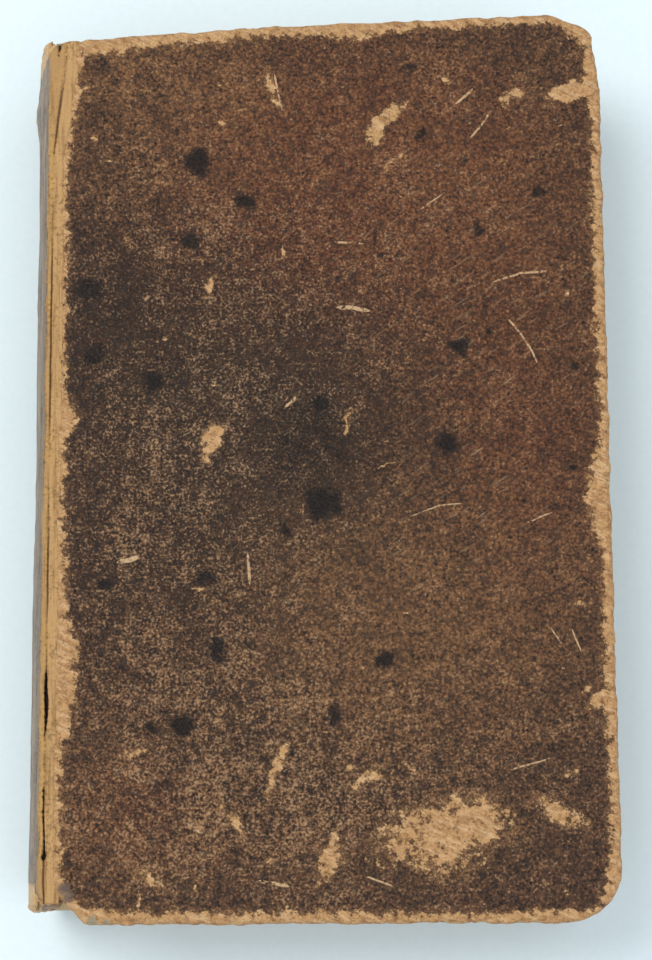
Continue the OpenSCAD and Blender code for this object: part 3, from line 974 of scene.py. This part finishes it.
BACK_WEAR = WearMap(
    corners=((1.6, -81.5, 3.0), (8.5, -85.7, 6.0), (105.6, -85.6, 9), (105.9, 85.8, 7.5), (8, 85.8, 6.0),
        (1.6, 81.5, 3.0)),
    joint_band=((-86, 3), (-60, 1.6), (-10, 2.2), (30, 1.2), (60, 2), (86, 3.6)),
    fore_band=((-86, 4), (-70, 1.8), (-20, 1.2), (10, 3), (40, 1.4), (86, 4)),
    head_band=((0, 3), (30, 1.8), (60, 2.6), (106, 3.6)),
    tail_band=((0, 3), (35, 2.4), (70, 1.6), (106, 3.6)),
    scuffs=rows_of(Scuff, (50, 20, 9, 4, 25, 0.5), (78, -40, 6, 2.4, -40, 0.7), (25, -55, 7, 3, 10, 0.6),
        (70, 62, 5, 2, 60, 0.6), (30, 48, 4, 1.4, 110, 0.4)),
    scratches=rows_of(Scratch, (((20, 10), (44, -14)), 0.4), (((60, -60), (84, -54)), 0.5),
        (((72, 30), (80, 6), (82, -10)), 0.35), (((30, 70), (52, 66)), 0.4)),
    stains=((60, -20, 3.4, 1.2), (34, -30, 2.2, 1.0), (82, 20, 2.6, 1.1), (20, 30, 1.8, 1.0),
        (48, 52, 2.4, 0.9)),
    glows=rows_of(Glow, ("red", 55, 30, 40, 50, 0.7), ("glow", 50, -30, 36, 36, 0.7),
        ("rub", 50, 0, 60, 80, 0.8), ("tone", 52, 0, 36, 60, 0.3), ("purple", 100, 0, 14, 90, 0.6)),
    flecks=60, seed=9)


@dataclass
class Cover:
    """One board's leather: outer face, rounded edges and turn-ins as one closed skin, and the joint strip.

    The skin's face is a Coons patch inside the outline. Its rim is a profile carried round that patch.
    """

    side: Side
    body: Body
    wear: WearMap
    across: int = 180
    up: int = 290
    edge_r: float = 1.3
    fray: float = 0.22
    strip: tuple[float, float] = (-3.4, 3.7)
    strip_t: float = 0.45

    def to_book(self, height: np.ndarray) -> np.ndarray:
        """Turns height above a cover's outer face into height in the book."""
        return BOOK.thick + height if self.side is Side.FRONT else -height

    def rim_profile(self) -> list[tuple[float, float, float]]:
        """Rows of the rim as distance out from the face's border, depth, and share of the turn-in's width.

        Quarter round at the face, straight side, small round at the inside, turn-in, and the leather's own
        thickness back to the inside of the face.
        """
        t = np.linspace(0, math.pi / 2, 7)[1:]
        rows = [(self.edge_r * math.sin(a), self.edge_r * (1 - math.cos(a)), 0.0) for a in t]
        deep, small = BOOK.cover_t + 0.03, 0.5
        rows += [(self.edge_r + 0.04 * math.sin(3 * d), d, 0.0) for d in (1.7, 2.2, deep - small)]
        rows += [(self.edge_r - small * (1 - math.cos(a)), deep - small * (1 - math.sin(a)), 0.0)
                 for a in t[1::2]]
        rows += [(0.0, deep, k / 7) for k in range(8)]
        return rows + [(0.0, deep - 0.35, 1.0), (0.0, deep - 0.4, 0.02), (0.0, BOOK.leather_t, 0.02)]

    @staticmethod
    def inside(face: np.ndarray, share: float, reach: tuple[float, float, float]) -> np.ndarray:
        """Ring of points inside a face's border, by drawing its rows and columns in.

        Args:
            face: The grid of points.
            share: How far in, from 0 at the border to 1.
            reach: Full distance in mm from the joint side, the fore-edge, and the head and tail.

        Returns:
            The ring, point for point beside the border.
        """
        rows, cols = face.shape[:2]
        r, c = np.divmod(border_of(rows, cols), cols)
        wide, high = np.ptp(face[..., 0]), np.ptp(face[..., 1])
        left, right, end = (share * d for d in (reach[0] / wide, reach[1] / wide, reach[2] / high))
        c = (left + c / (cols - 1) * (1 - left - right)) * (cols - 1)
        r = (end + r / (rows - 1) * (1 - 2 * end)) * (rows - 1)
        c0, r0 = np.minimum(c.astype(int), cols - 2), np.minimum(r.astype(int), rows - 2)
        u, v = (c - c0)[:, None], (r - r0)[:, None]
        low = face[r0, c0] * (1 - u) + face[r0, c0 + 1] * u
        return low * (1 - v) + (face[r0 + 1, c0] * (1 - u) + face[r0 + 1, c0 + 1] * u) * v

    def build_skin(self) -> bpy.types.Object:
        """Builds the leather of the outer face, edges and turn-ins.

        Returns:
            The skin, riding on its cover.
        """
        ring = rounded_ring(self.wear.corners)
        face = coons(*four_sides(ring - self.edge_r * self.outward(ring), self.across, self.up))
        rows, cols = face.shape[:2]
        x, y = face[..., 0].ravel(), face[..., 1].ravel()
        last = border_of(rows, cols)
        out = self.outward(face.reshape(-1, 2)[last])
        points, quads = [np.stack([x, y, self.relief(x, y)], 1)], [grid_faces(rows, cols)]
        inner = [np.zeros(rows * cols)]
        for far, deep, share in self.rim_profile():
            ring = self.inside(face, share, (0.8, BOOK.turn_w - self.edge_r, BOOK.turn_w - self.edge_r))
            fray = self.fray * sum(share_of * value_noise(ring[:, 0], ring[:, 1], size, seed)
                                   for share_of, size, seed in ((1.0, 2.3, 3), (0.5, 0.8, 7)))
            ring = ring + out * (far + fray * ease(far / self.edge_r))[:, None]
            here = np.arange(len(last)) + sum(len(p) for p in points)
            points.append(np.column_stack([ring, np.full(len(last), -deep)]))
            inner.append(np.full(len(last), float(share > 0.1)))
            quads.append(np.stack([np.roll(last, -1), last, here, np.roll(here, -1)], 1))
            last = here
        points, inner = np.concatenate(points), np.concatenate(inner)
        marks = self.wear.marks(points[:, 0], points[:, 1], inner)
        points[:, 2] = self.to_book(points[:, 2])
        name = f"{self.side.name.lower()}_calf_skin"
        skin = put_mesh(name, points, np.concatenate(quads), [last[::-1]], marks, self.side is Side.BACK)
        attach(skin, self.body.value)
        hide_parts(f"{self.side.name.lower()}_cover_leather")
        WARDROBE.dress(skin, Finish.CALF)
        return skin

    def build_board(self, part: str, inset: float, high: float, low: float, finish: Finish) -> bpy.types.Object:
        """Builds the pasteboard, or the sheet pasted over it, inside the skin's outline.

        Args:
            part: The CAD node that it stands for, less the side's name.
            inset: Distance in from the cover's outline.
            high: Depth of its outer face below the cover's face.
            low: Depth of its inner face.
            finish: Its finish.

        Returns:
            The piece, riding on its cover.
        """
        corners = tuple((x if x > 4 else 1.2 - 0.9 * inset, y, r) for x, y, r in self.wear.corners)
        ring = rounded_ring(corners)
        face = coons(*four_sides(ring - inset * self.outward(ring), 90, 120))
        x, y = face[..., 0], face[..., 1]
        wave = (part == "pastedown") * (0.03 * value_noise(x, y, 14, 41) + 0.015 * value_noise(x, y, 4, 42))
        edge = np.minimum(np.minimum(x - x.min(), x.max() - x), np.minimum(y - y.min(), y.max() - y))
        pair = (lift(face, self.to_book(-high)), lift(face, self.to_book(wave - low)))
        name = f"{self.side.name.lower()}_{part}"
        piece = slabs(name + "_sheet", [pair], {"rim": ease(1 - edge / 3)}, self.side is Side.BACK)
        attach(piece, self.body.value)
        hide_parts(name)
        WARDROBE.dress(piece, finish)
        return piece

    def build(self) -> None:
        """Builds the whole cover."""
        self.build_skin()
        leather, inside = BOOK.leather_t, BOOK.cover_t
        self.build_board("board", 0.95, leather + 0.01, inside - 0.02, Finish.BOARD)
        self.build_board("pastedown", 2.6, inside + 0.04, inside + 0.28, Finish.END)
        self.build_joint()

    @staticmethod
    def outward(ring: np.ndarray) -> np.ndarray:
        """Unit normals of a closed anticlockwise outline, pointing out."""
        on = np.roll(ring, -2, 0) - np.roll(ring, 2, 0)
        on /= np.linalg.norm(on, axis=1)[:, None] + 1e-9
        return np.stack([on[:, 1], -on[:, 0]], 1)

    def relief(self, x: np.ndarray, y: np.ndarray) -> np.ndarray:
        """Height of the outer face: slow waves of the board, cockles of the skin, and lost skin lower."""
        worn = ease((self.wear.worn(x, y) + 0.5 + 1.2 * value_noise(x, y, 1.3, 5)) / 1.0)
        easy = ease(self.wear.edge(x, y) / 3)
        waves = 0.07 * value_noise(x, y, 19, 1) + 0.035 * value_noise(x, y, 4.5, 2) - 0.06
        return easy * waves - 0.09 * worn

    def build_joint(self) -> bpy.types.Object:
        """Builds the strip of leather that bends at the joint, from the spine's shoulder onto the cover.

        Its section follows the spine's arc, turns over the joint on a fillet and runs flat onto the cover.
        Creases are valleys that wander along y, and splits are short deep valleys.

        Returns:
            The strip, baked in place on no body.
        """
        s, t = np.meshgrid(np.linspace(*self.strip, 56), np.linspace(-1, 1, 420))
        y = np.where(t > 0, t * (82.5 - 2.8 * ease((1.9 - s) / 4)), t * (82.3 - 1.2 * ease((0.2 - s) / 2)))
        wide = 1 + 0.85 * ease((y - 56) / 24)
        flat = np.where(s > 0, s * wide, s)
        base = sum(self.section(flat + step) for step in (-0.7, -0.35, 0.0, 0.35, 0.7)) / 5
        crease = np.zeros(s.shape)
        for k, (place, deep) in enumerate(((-0.55, 0.6), (0.95, 1.0), (1.7, 0.35))):
            middle = place * wide ** 0.9 + sum(by * value_noise(y, y * 0 + k, size, 21 + k)
                                               for by, size in ((0.3, 23), (0.1, 3)))
            fade = np.clip(0.6 + 0.6 * value_noise(y, y * 0, 11, 31 + k), 0.1, 1)
            crease = crease + deep * fade * np.exp(-((s - middle) / 0.16) ** 2)
        crack = self.crack(s, y)
        ends = ease((np.abs(y) - 79.5) / 4)
        torn = 2.75 + 0.3 * value_noise(y, y * 0, 2.4, 35) + 0.15 * value_noise(y, y * 0, 0.8, 36)
        drop = 0.26 * crease + 0.5 * ease(crack / 0.3 + 0.5) + 0.7 * ease((s - torn) / 0.5) - 0.04
        drop = drop + 1.3 * ends * ease((2.6 - s) / 3) + 0.09 * value_noise(s * 3, y, 5, 12)
        normal = self.section_normal(flat)
        outer = base - normal * drop[..., None]
        inner = base - normal * (drop + self.strip_t)[..., None]
        loop = np.concatenate([outer, inner[:, ::-1]], 1)
        y_loop = np.concatenate([y, y[:, ::-1]], 1)
        z = loop[..., 1] if self.side is Side.FRONT else BOOK.thick - loop[..., 1]
        skin = np.clip(-s - 0.55 + 0.35 * value_noise(s, y, 6, 8), -3, 3)
        flesh = ease((s - 0.95 * wide ** 0.9 - 0.3 * value_noise(y, y * 0, 23, 22)) / 0.3)
        fields = {"crease": crease, "crack": crack, "skin": skin, "flesh": flesh}
        marks = {key: np.concatenate([value, value[:, ::-1]], 1) for key, value in fields.items()}
        name = f"{self.side.name.lower()}_joint_strip"
        strip = put_tube(name, np.stack([loop[..., 0], y_loop, z], -1), marks, self.side is Side.BACK)
        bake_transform(strip)
        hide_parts(f"{self.side.name.lower()}_joint_leather")
        WARDROBE.dress(strip, Finish.JOINT)
        return strip

    def section(self, s: np.ndarray) -> np.ndarray:
        """Point of the joint's section at arc length s: on the spine's arc below 0, on the cover above."""
        arc = spine_point(np.maximum(-s, 0))[0]
        flat = np.stack([np.maximum(s, 0), np.zeros(s.shape)], -1)
        return arc + flat

    def section_normal(self, s: np.ndarray) -> np.ndarray:
        """Outward direction of the section, turned smoothly from the spine's to straight up."""
        side = spine_point(np.maximum(-s, 0))[1]
        angle = side + (math.pi / 2 - side) * ease((s + 1.2) / 2.4)
        return np.stack([np.cos(angle), np.sin(angle)], -1)

    def crack(self, s: np.ndarray, y: np.ndarray) -> np.ndarray:
        """Distance in mm into the splits of the front joint; the back joint is whole."""
        if self.side is Side.BACK:
            return np.full(s.shape, -1.0)
        half = np.interp(y, (-76, -74, -72, -62, -57, -51, -46, -41, -38, 76, 78, 82, 83),
                         (-1, 0.5, 0.14, 0.14, -0.6, 0.12, 0.42, 0.24, -0.5, -0.5, -0.1, 0.16, 0.1))
        return np.clip(half - np.abs(s - 0.75 - 0.3 * value_noise(y, y * 0, 6, 14)), -1, 1)


# ---------------------------------------------------------------- spine and leaves
class End(Enum):
    """The two ends of the book; the value is the sign of y."""

    HEAD = 1
    TAIL = -1

    @property
    def cap_y(self) -> float:
        """Place of the cap's middle, which has sunk a little at both ends."""
        return 83.1 if self is End.HEAD else -82.5


@dataclass
class Spine:
    """Leather over the folds, with a rolled cap and a worked endband at each end, all on the text block."""

    rows: int = 360
    cols: int = 84
    shoulder: float = 2.4
    flap_y: float = 71.0
    silk_turns: int = 30
    silk_r: float = 0.78

    def build(self) -> None:
        """Builds the spine leather, both caps and both endbands."""
        self.build_skin()
        for end in End:
            self.build_cap(end)
            self.build_band(end)

    def hold(self, piece: bpy.types.Object, slot: str, finish: Finish, *nodes: str) -> None:
        """Puts a piece on the text block in place of its CAD nodes, and dresses it."""
        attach(piece, Body.BLOCK.value)
        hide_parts(*nodes)
        WARDROBE.dress(piece, finish)

    def build_skin(self) -> None:
        """Builds the leather: the arc through both joints, with lengthwise wrinkles and one lifting flap."""
        first, last = self.shoulder, SPINE_LENGTH - self.shoulder
        s = np.linspace(first, last, self.cols)[None, :]
        y = np.linspace(-82.6, 83.2, self.rows)[:, None]
        s, y = np.broadcast_arrays(s, y)
        base, angle = spine_point(s)
        out = np.stack([np.cos(angle), np.sin(angle)], -1)
        middle = ease(np.minimum(s - first, last - s) / 2.5)
        rise = middle * (0.16 * value_noise(s * 5, y, 11, 51) + 0.1 * value_noise(s * 3, y, 4, 52)
                         + 0.25 * value_noise(s, y, 24, 53))
        flap = np.exp(-((y - self.flap_y) / 4.5) ** 2) * np.exp(-((s - SPINE_LENGTH / 2) / 7) ** 2)
        rise = rise + 1.5 * flap * (0.75 + 0.25 * value_noise(y, y * 0, 1.8, 54))
        rise = rise - 0.3 * ease((np.abs(y) - 81.5) / 2)
        crown = 2.4 * value_noise(y, s * 0.5, 9, 55) - 0.9 - np.abs(s - SPINE_LENGTH / 2) * 0.16
        wear = np.maximum(np.abs(y) - 78, crown)
        wear = np.maximum(wear, 3 - np.hypot((y - self.flap_y) / 1.8, s - SPINE_LENGTH / 2))
        wear = np.clip(wear, -3, 1.2) - 0.5
        outer = base + out * rise[..., None]
        inner = base + out * (np.minimum(rise, 0.2) - 0.75)[..., None]
        grids = tuple(np.stack([g[..., 0], y, g[..., 1]], -1) for g in (outer, inner))
        skin = slabs("spine_calf_skin", [grids], {"wear": wear}, True)
        self.hold(skin, "calf_leather", Finish.SPINE, "spine_leather")

    def arc_tube(self, name: str, ring_r: float, y: float, first: float, radius: np.ndarray,
                 mark: tuple[str, np.ndarray]) -> bpy.types.Object:
        """A closed tube that follows the spine's arc.

        Args:
            name: The piece's name.
            ring_r: Radius of its centre line.
            y: Height of its centre line.
            first: Arc length at which it starts, and that it leaves at the other end.
            radius: Its radius, rows along the arc by columns round the tube.
            mark: Name and values of its attribute, the same shape.

        Returns:
            The tube.
        """
        rows, cols = radius.shape
        angle = spine_point(np.linspace(first, SPINE_LENGTH - first, rows))[1][:, None]
        round_it = np.linspace(0, 2 * math.pi, cols, endpoint=False)[None, :]
        far = ring_r + radius * np.cos(round_it)
        x = BOOK.spine_cx + far * np.cos(angle)
        z = BOOK.thick / 2 + far * np.sin(angle)
        sunk = 2.2 * (1 - ease(np.minimum(np.arange(rows), np.arange(rows)[::-1]) / rows / 0.18))[:, None]
        y = y - math.copysign(1, y) * sunk + radius * np.sin(round_it)
        return put_tube(name, np.stack([x, y, z], -1), dict([mark]))

    def build_cap(self, end: End) -> None:
        """Builds a cap: leather rolled over a cord, crumpled across its length."""
        u, t = tube_grid(150, 36)
        crumple = (0.13 * value_noise(u * 40, np.cos(t) * 2, 1.6, 61)
                   + 0.08 * value_noise(u * 40, np.sin(t) * 3, 0.7, 62))
        radius = 1.22 * (1 + crumple) * (0.35 + 0.65 * ease(np.minimum(u, 1 - u) / 0.05))
        wear = 0.9 * np.cos(t - 0.6 * end.value) + 0.5 * value_noise(u * 40, t, 5, 63)
        name = end.name.lower() + "_cap"
        tube = self.arc_tube(name + "_roll", BOOK.spine_r - 1.25, end.cap_y, 0.5, radius, ("wear", wear))
        self.hold(tube, "calf_leather", Finish.SPINE, name)

    def build_band(self, end: End) -> None:
        """Builds an endband: silk wound round a core, each turn a low ridge on a helix."""
        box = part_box(end.name.lower() + "_band")
        ring_r = BOOK.spine_r - 2.4 - 0.8 - 0.05
        half = math.asin(min(1.0, (box[1][2] - box[0][2]) / M / 2 / ring_r))
        first = SPINE_LENGTH / 2 - half * BOOK.spine_r + 0.4
        u, t = tube_grid(420, 24)
        turns = self.silk_turns * u + t / (2 * math.pi)
        taper = 0.5 + 0.5 * ease(np.minimum(u, 1 - u) / 0.02)
        radius = self.silk_r * taper * (1 - 0.12 * np.abs(np.cos(math.pi * turns * 2)))
        stripe = 0.5 + 0.5 * np.sin(2 * math.pi * turns)
        name = end.name.lower() + "_band"
        y = LEAVES.ends[end is End.HEAD] + end.value * 0.8
        tube = self.arc_tube(name + "_silk", ring_r, y, first, radius, ("turn", stripe))
        self.hold(tube, "band_silk", Finish.SILK, name, name + "_core")


@dataclass(frozen=True)
class LeafShape:
    """Outline of the leaves: their height, and how the spine's round shifts each one."""

    ends: tuple[float, float]
    fold_r: float
    width: float

    def shift(self, z: float) -> float:
        """Place of the folded edge at a height."""
        return BOOK.spine_cx - math.sqrt(self.fold_r ** 2 - (z - BOOK.thick / 2) ** 2)

    def ring(self, x0: float, x1: float) -> np.ndarray:
        """Outline from x0 to x1 with eased corners."""
        tail, head = self.ends
        return rounded_ring(((x0, tail, 0.5), (x1, tail, 1.6), (x1, head, 1.6), (x0, head, 0.5)), 6)


def read_leaves() -> LeafShape:
    """Reads the leaves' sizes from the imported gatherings.

    Returns:
        The leaves' outline.
    """
    low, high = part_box("gathering_06")
    fold_r = BOOK.spine_r - 1.2
    middle = BOOK.spine_cx - fold_r
    return LeafShape((low[1] / M + 1.9, high[1] / M), fold_r, high[0] / M - BOOK.joint_x - middle)


LEAVES = read_leaves()


@dataclass
class Gathering:
    """One sewn gathering: its leaves' edges stand a little in and out, with a groove between each two."""

    name: str
    seed: int
    sheets: int = 7

    def build(self) -> None:
        """Builds the gathering as a stack of edge rows round the leaves' outline, closed above and below."""
        low, high = (v[2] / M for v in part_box(self.name))
        ring = LEAVES.ring(0, LEAVES.width)
        ring = along(np.vstack([ring, ring[:1]]), 401)[:-1]
        out = Cover.outward(ring)
        draw = np.random.default_rng(self.seed)
        span = (high - low) / self.sheets
        heights, jumps = [], []
        for k in range(self.sheets):
            jump = draw.uniform(-0.16, 0.1)
            heights += [low + span * (k + f) for f in (0.04, 0.14, 0.8, 0.94)]
            jumps += [jump - 0.2, jump, jump, jump - 0.2]
        heights, jumps = np.array(heights)[:, None], np.array(jumps)[:, None]
        x, y = ring[:, 0][None, :], ring[:, 1][None, :]
        free = ease((x - 4) / 6)
        ragged = (0.09 * value_noise(x + y, heights * 3, 3.1, self.seed)
                  + 0.05 * value_noise(x - y, heights * 9, 0.9, 7))
        move = free * (jumps + ragged) - 0.05
        drop = 0.05 * value_noise(x, y, 26, 5) * ease((heights - low) / span) * ease((high - heights) / span)
        shift = np.array([LEAVES.shift(z) for z in heights[:, 0]])[:, None]
        x, y = x + shift + out[:, 0] * move, y + out[:, 1] * move
        points = np.stack(np.broadcast_arrays(x, y, heights + drop), -1)
        rim = np.full(points.shape[:2], 0.55 + 0.25 * draw.random())
        block = put_tube(self.name + "_edges", points, {"rim": rim})
        sharpen(block, 35)
        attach(block, Body.BLOCK.value)
        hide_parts(self.name)
        WARDROBE.dress(block, Finish.PAPER)


@dataclass
class Leaf:
    """Separate leaves: one sheet, or a few together, slightly cockled; only those at the back ride on a body of
    their own.
    """

    node: str
    body: str
    sheets: int
    finish: Finish
    slot: str
    at_front: bool
    seed: int
    also: tuple[str, ...] = ()

    def build(self) -> None:
        """Builds the sheets; at the front they start in the gutter and stay in place on no body."""
        low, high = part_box(self.node)
        z0, z1 = low[2] / M, high[2] / M
        each = (z1 - z0) / self.sheets
        pairs, draw = [], np.random.default_rng(self.seed)
        for k in range(self.sheets):
            z = z0 + each * k
            edge = LEAVES.shift(z + each / 2) + LEAVES.width + draw.uniform(-0.35, 0.05)
            start = max(0.35, LEAVES.shift(z) + 0.2) if self.at_front else low[0] / M - BOOK.joint_x
            face = coons(*four_sides(LEAVES.ring(start, edge), 100, 70))
            x, y = face[..., 0], face[..., 1]
            wave = 0.035 * value_noise(x, y, 21, self.seed) * ease((x - 8) / 20)
            nick = 0.18 * value_noise(y, x * 0 + k, 4, self.seed + 9) * ease((x - edge + 3) / 3)
            face = np.stack([x + nick, y], -1)
            pairs.append((lift(face, z + each * 0.94 + wave), lift(face, z + each * 0.06 + wave)))
        rim = ease(1 - np.minimum(edge - x, np.minimum(y - LEAVES.ends[0], LEAVES.ends[1] - y)) / 3)
        piece = slabs(self.node + "_sheets", pairs, {"rim": rim})
        if self.at_front:
            start = Vector((BOOK.joint_x + 1, 0, BOOK.thick)) * M
            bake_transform(piece)
        else:
            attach(piece, self.body)
        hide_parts(self.node, *self.also)
        WARDROBE.dress(piece, self.finish)


TURNING_LEAVES = (
    Leaf("front_free_endpaper", "front_endpaper_leaf", 1, Finish.END, "endpaper", True, 71,
         ("front_gutter_folds",)),
    Leaf("front_flyleaf", "front_flyleaf_leaf", 1, Finish.END, "endpaper", True, 72),
    Leaf("opening_leaves_1", "opening_group_1", 3, Finish.PAPER, "laid_paper", True, 73),
    Leaf("opening_leaves_2", "opening_group_2", 3, Finish.PAPER, "laid_paper", True, 74),
    Leaf("back_flyleaf", "back_flyleaf_leaf", 1, Finish.END, "endpaper", False, 75),
    Leaf("back_free_endpaper", "back_endpaper_leaf", 1, Finish.END, "endpaper", False, 76))


@dataclass(frozen=True)
class HiddenParts:
    """CAD nodes that show as they are, and the finish of each."""

    finishes: tuple[tuple[str, Finish], ...] = (
        ("cord_slips", Finish.HEMP), ("sewing_cord", Finish.HEMP), ("kettle_stitches", Finish.HEMP),
        ("spine_lining", Finish.LINING), ("gutter_folds", Finish.PAPER))

    def dress(self) -> int:
        """Puts a finish on each carried-over node.

        Returns:
            How many nodes were dressed.
        """
        count = 0
        for name, node in frame["nodes"].items():
            for part, finish in self.finishes:
                if part in name:
                    WARDROBE.dress(node, finish)
                    count += 1
        return count


# ---------------------------------------------------------------- studio
@dataclass(frozen=True)
class CameraSpot:
    """Where the camera stands: aim point and distance in mm, tilt towards the tail and roll in degrees."""

    aim: tuple[float, float, float] = (1.47, -4.66, 32.0)
    far: float = 420.0
    tilt: float = 10.64
    roll: float = -0.44
    lens: float = 56.1

    def place(self) -> bpy.types.Object:
        """Makes the camera and looks through it.

        Returns:
            The camera.
        """
        t, r = math.radians(self.tilt), math.radians(self.roll)
        back, up = Vector((0, -math.sin(t), math.cos(t))), Vector((0, math.cos(t), math.sin(t)))
        right = Vector((1, 0, 0)) * math.cos(r) + up * math.sin(r)
        up = back.cross(right)
        data = bpy.data.cameras.new("still_camera")
        data.sensor_fit, data.sensor_height, data.lens = "VERTICAL", 24.0, self.lens
        data.clip_start, data.clip_end = 0.01, 20.0
        camera = bpy.data.objects.new("still_camera", data)
        bpy.context.scene.collection.objects.link(camera)
        eye = (Vector(self.aim) + back * self.far) * M
        turn = Matrix((right, up, back)).transposed()
        camera.matrix_world = Matrix.Translation(eye) @ turn.to_4x4()
        bpy.context.scene.camera = camera
        return camera


@dataclass(frozen=True)
class Lamp:
    """One large soft light that faces the book: its place and size in m, its power in W and its colour."""

    name: str
    place: tuple[float, float, float]
    size: float
    power: float
    colour: str = "ffffff"

    def light(self) -> None:
        """Makes the light, turned towards the middle of the book."""
        data = bpy.data.lights.new(self.name, "AREA")
        data.shape, data.size, data.energy = "DISK", self.size, self.power
        data.color = linear(self.colour)[:3]
        lamp = bpy.data.objects.new(self.name, data)
        bpy.context.scene.collection.objects.link(lamp)
        lamp.location = self.place
        lamp.rotation_euler = (-Vector(self.place)).to_track_quat("-Z", "Y").to_euler()


@dataclass(frozen=True)
class Studio:
    """Pale floor and soft light from all round, a little stronger from the upper left."""

    floor: str = "d6e5eb"
    floor_shade: str = "cddde4"
    sky: str = "f6f8fa"
    strength: float = 0.9
    half_wide: float = 900.0
    below: float = 0.12
    lamps: tuple[Lamp, ...] = (
        Lamp("window_light", (-0.55, 0.35, 1.3), 0.7, 10.0, "fffcf6"),
        Lamp("fill_light", (0.5, -0.6, 1.3), 1.2, 4.0, "f8faff"))

    def build(self) -> None:
        """Builds the floor, the lights, the world and the plain view transform."""
        grid = np.linspace(-self.half_wide, self.half_wide, 25)
        x, y = np.meshgrid(grid, grid)
        points = np.stack([x.ravel(), y.ravel(), np.full(x.size, -self.below)], 1)
        floor = put_mesh("studio_floor", points, grid_faces(25, 25))
        recipe = Recipe("pale_paper_floor")
        paper = recipe.add("TexNoise", grain(1.5, 4))
        colour = recipe.paint(self.floor, (self.floor_shade, recipe.mask(paper, 0.35, 0.7), 0.3))
        floor.data.materials.append(recipe.finish(colour, 0.9, recipe.relief(0.02, 0.2, (1.0, paper))))
        floor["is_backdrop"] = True
        world = bpy.data.worlds.new("soft_room")
        world.use_nodes = True
        sky = world.node_tree.nodes["Background"]
        sky.inputs["Color"].default_value = linear(self.sky)
        sky.inputs["Strength"].default_value = self.strength
        bpy.context.scene.world = world
        bpy.context.scene.view_settings.view_transform = "Standard"
        for lamp in self.lamps:
            lamp.light()


def write_sizes() -> None:
    """Puts the CAD box and the box of what shows, as plain lists, in one dict, which is not kept."""
    {"cad": plain(CAD_BOX), "visual": plain(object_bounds())}


def plain(value: object) -> object:
    """Turns vectors inside a box into plain lists."""
    if isinstance(value, dict):
        return {key: plain(part) for key, part in value.items()}
    if isinstance(value, (Vector, tuple, list, np.ndarray)):
        return [plain(part) for part in value]
    return float(value) if isinstance(value, (int, float, np.floating)) else value


def main() -> None:
    """Builds the scene: camera first, then covers, spine, leaves, hidden parts and the studio."""
    logging.basicConfig(level=logging.INFO, format="%(message)s")
    CameraSpot().place()
    covers = (Cover(Side.FRONT, Body.FRONT, FRONT_WEAR), Cover(Side.BACK, Body.BACK, BACK_WEAR))
    for cover in covers:
        cover.build()
        log.info("built the %s cover", cover.side.name.lower())
    Spine().build()
    names = sorted(name for name in frame["nodes"] if name.startswith("gathering_"))
    for k, name in enumerate(names):
        Gathering(name, 101 + k).build()
    for leaf in TURNING_LEAVES:
        leaf.build()
    log.info("built %d gatherings and %d turning leaves", len(names), len(TURNING_LEAVES))
    log.info("dressed %d carried-over nodes", HiddenParts().dress())
    Studio().build()
    write_sizes()


if __name__ == "__main__":
    main()
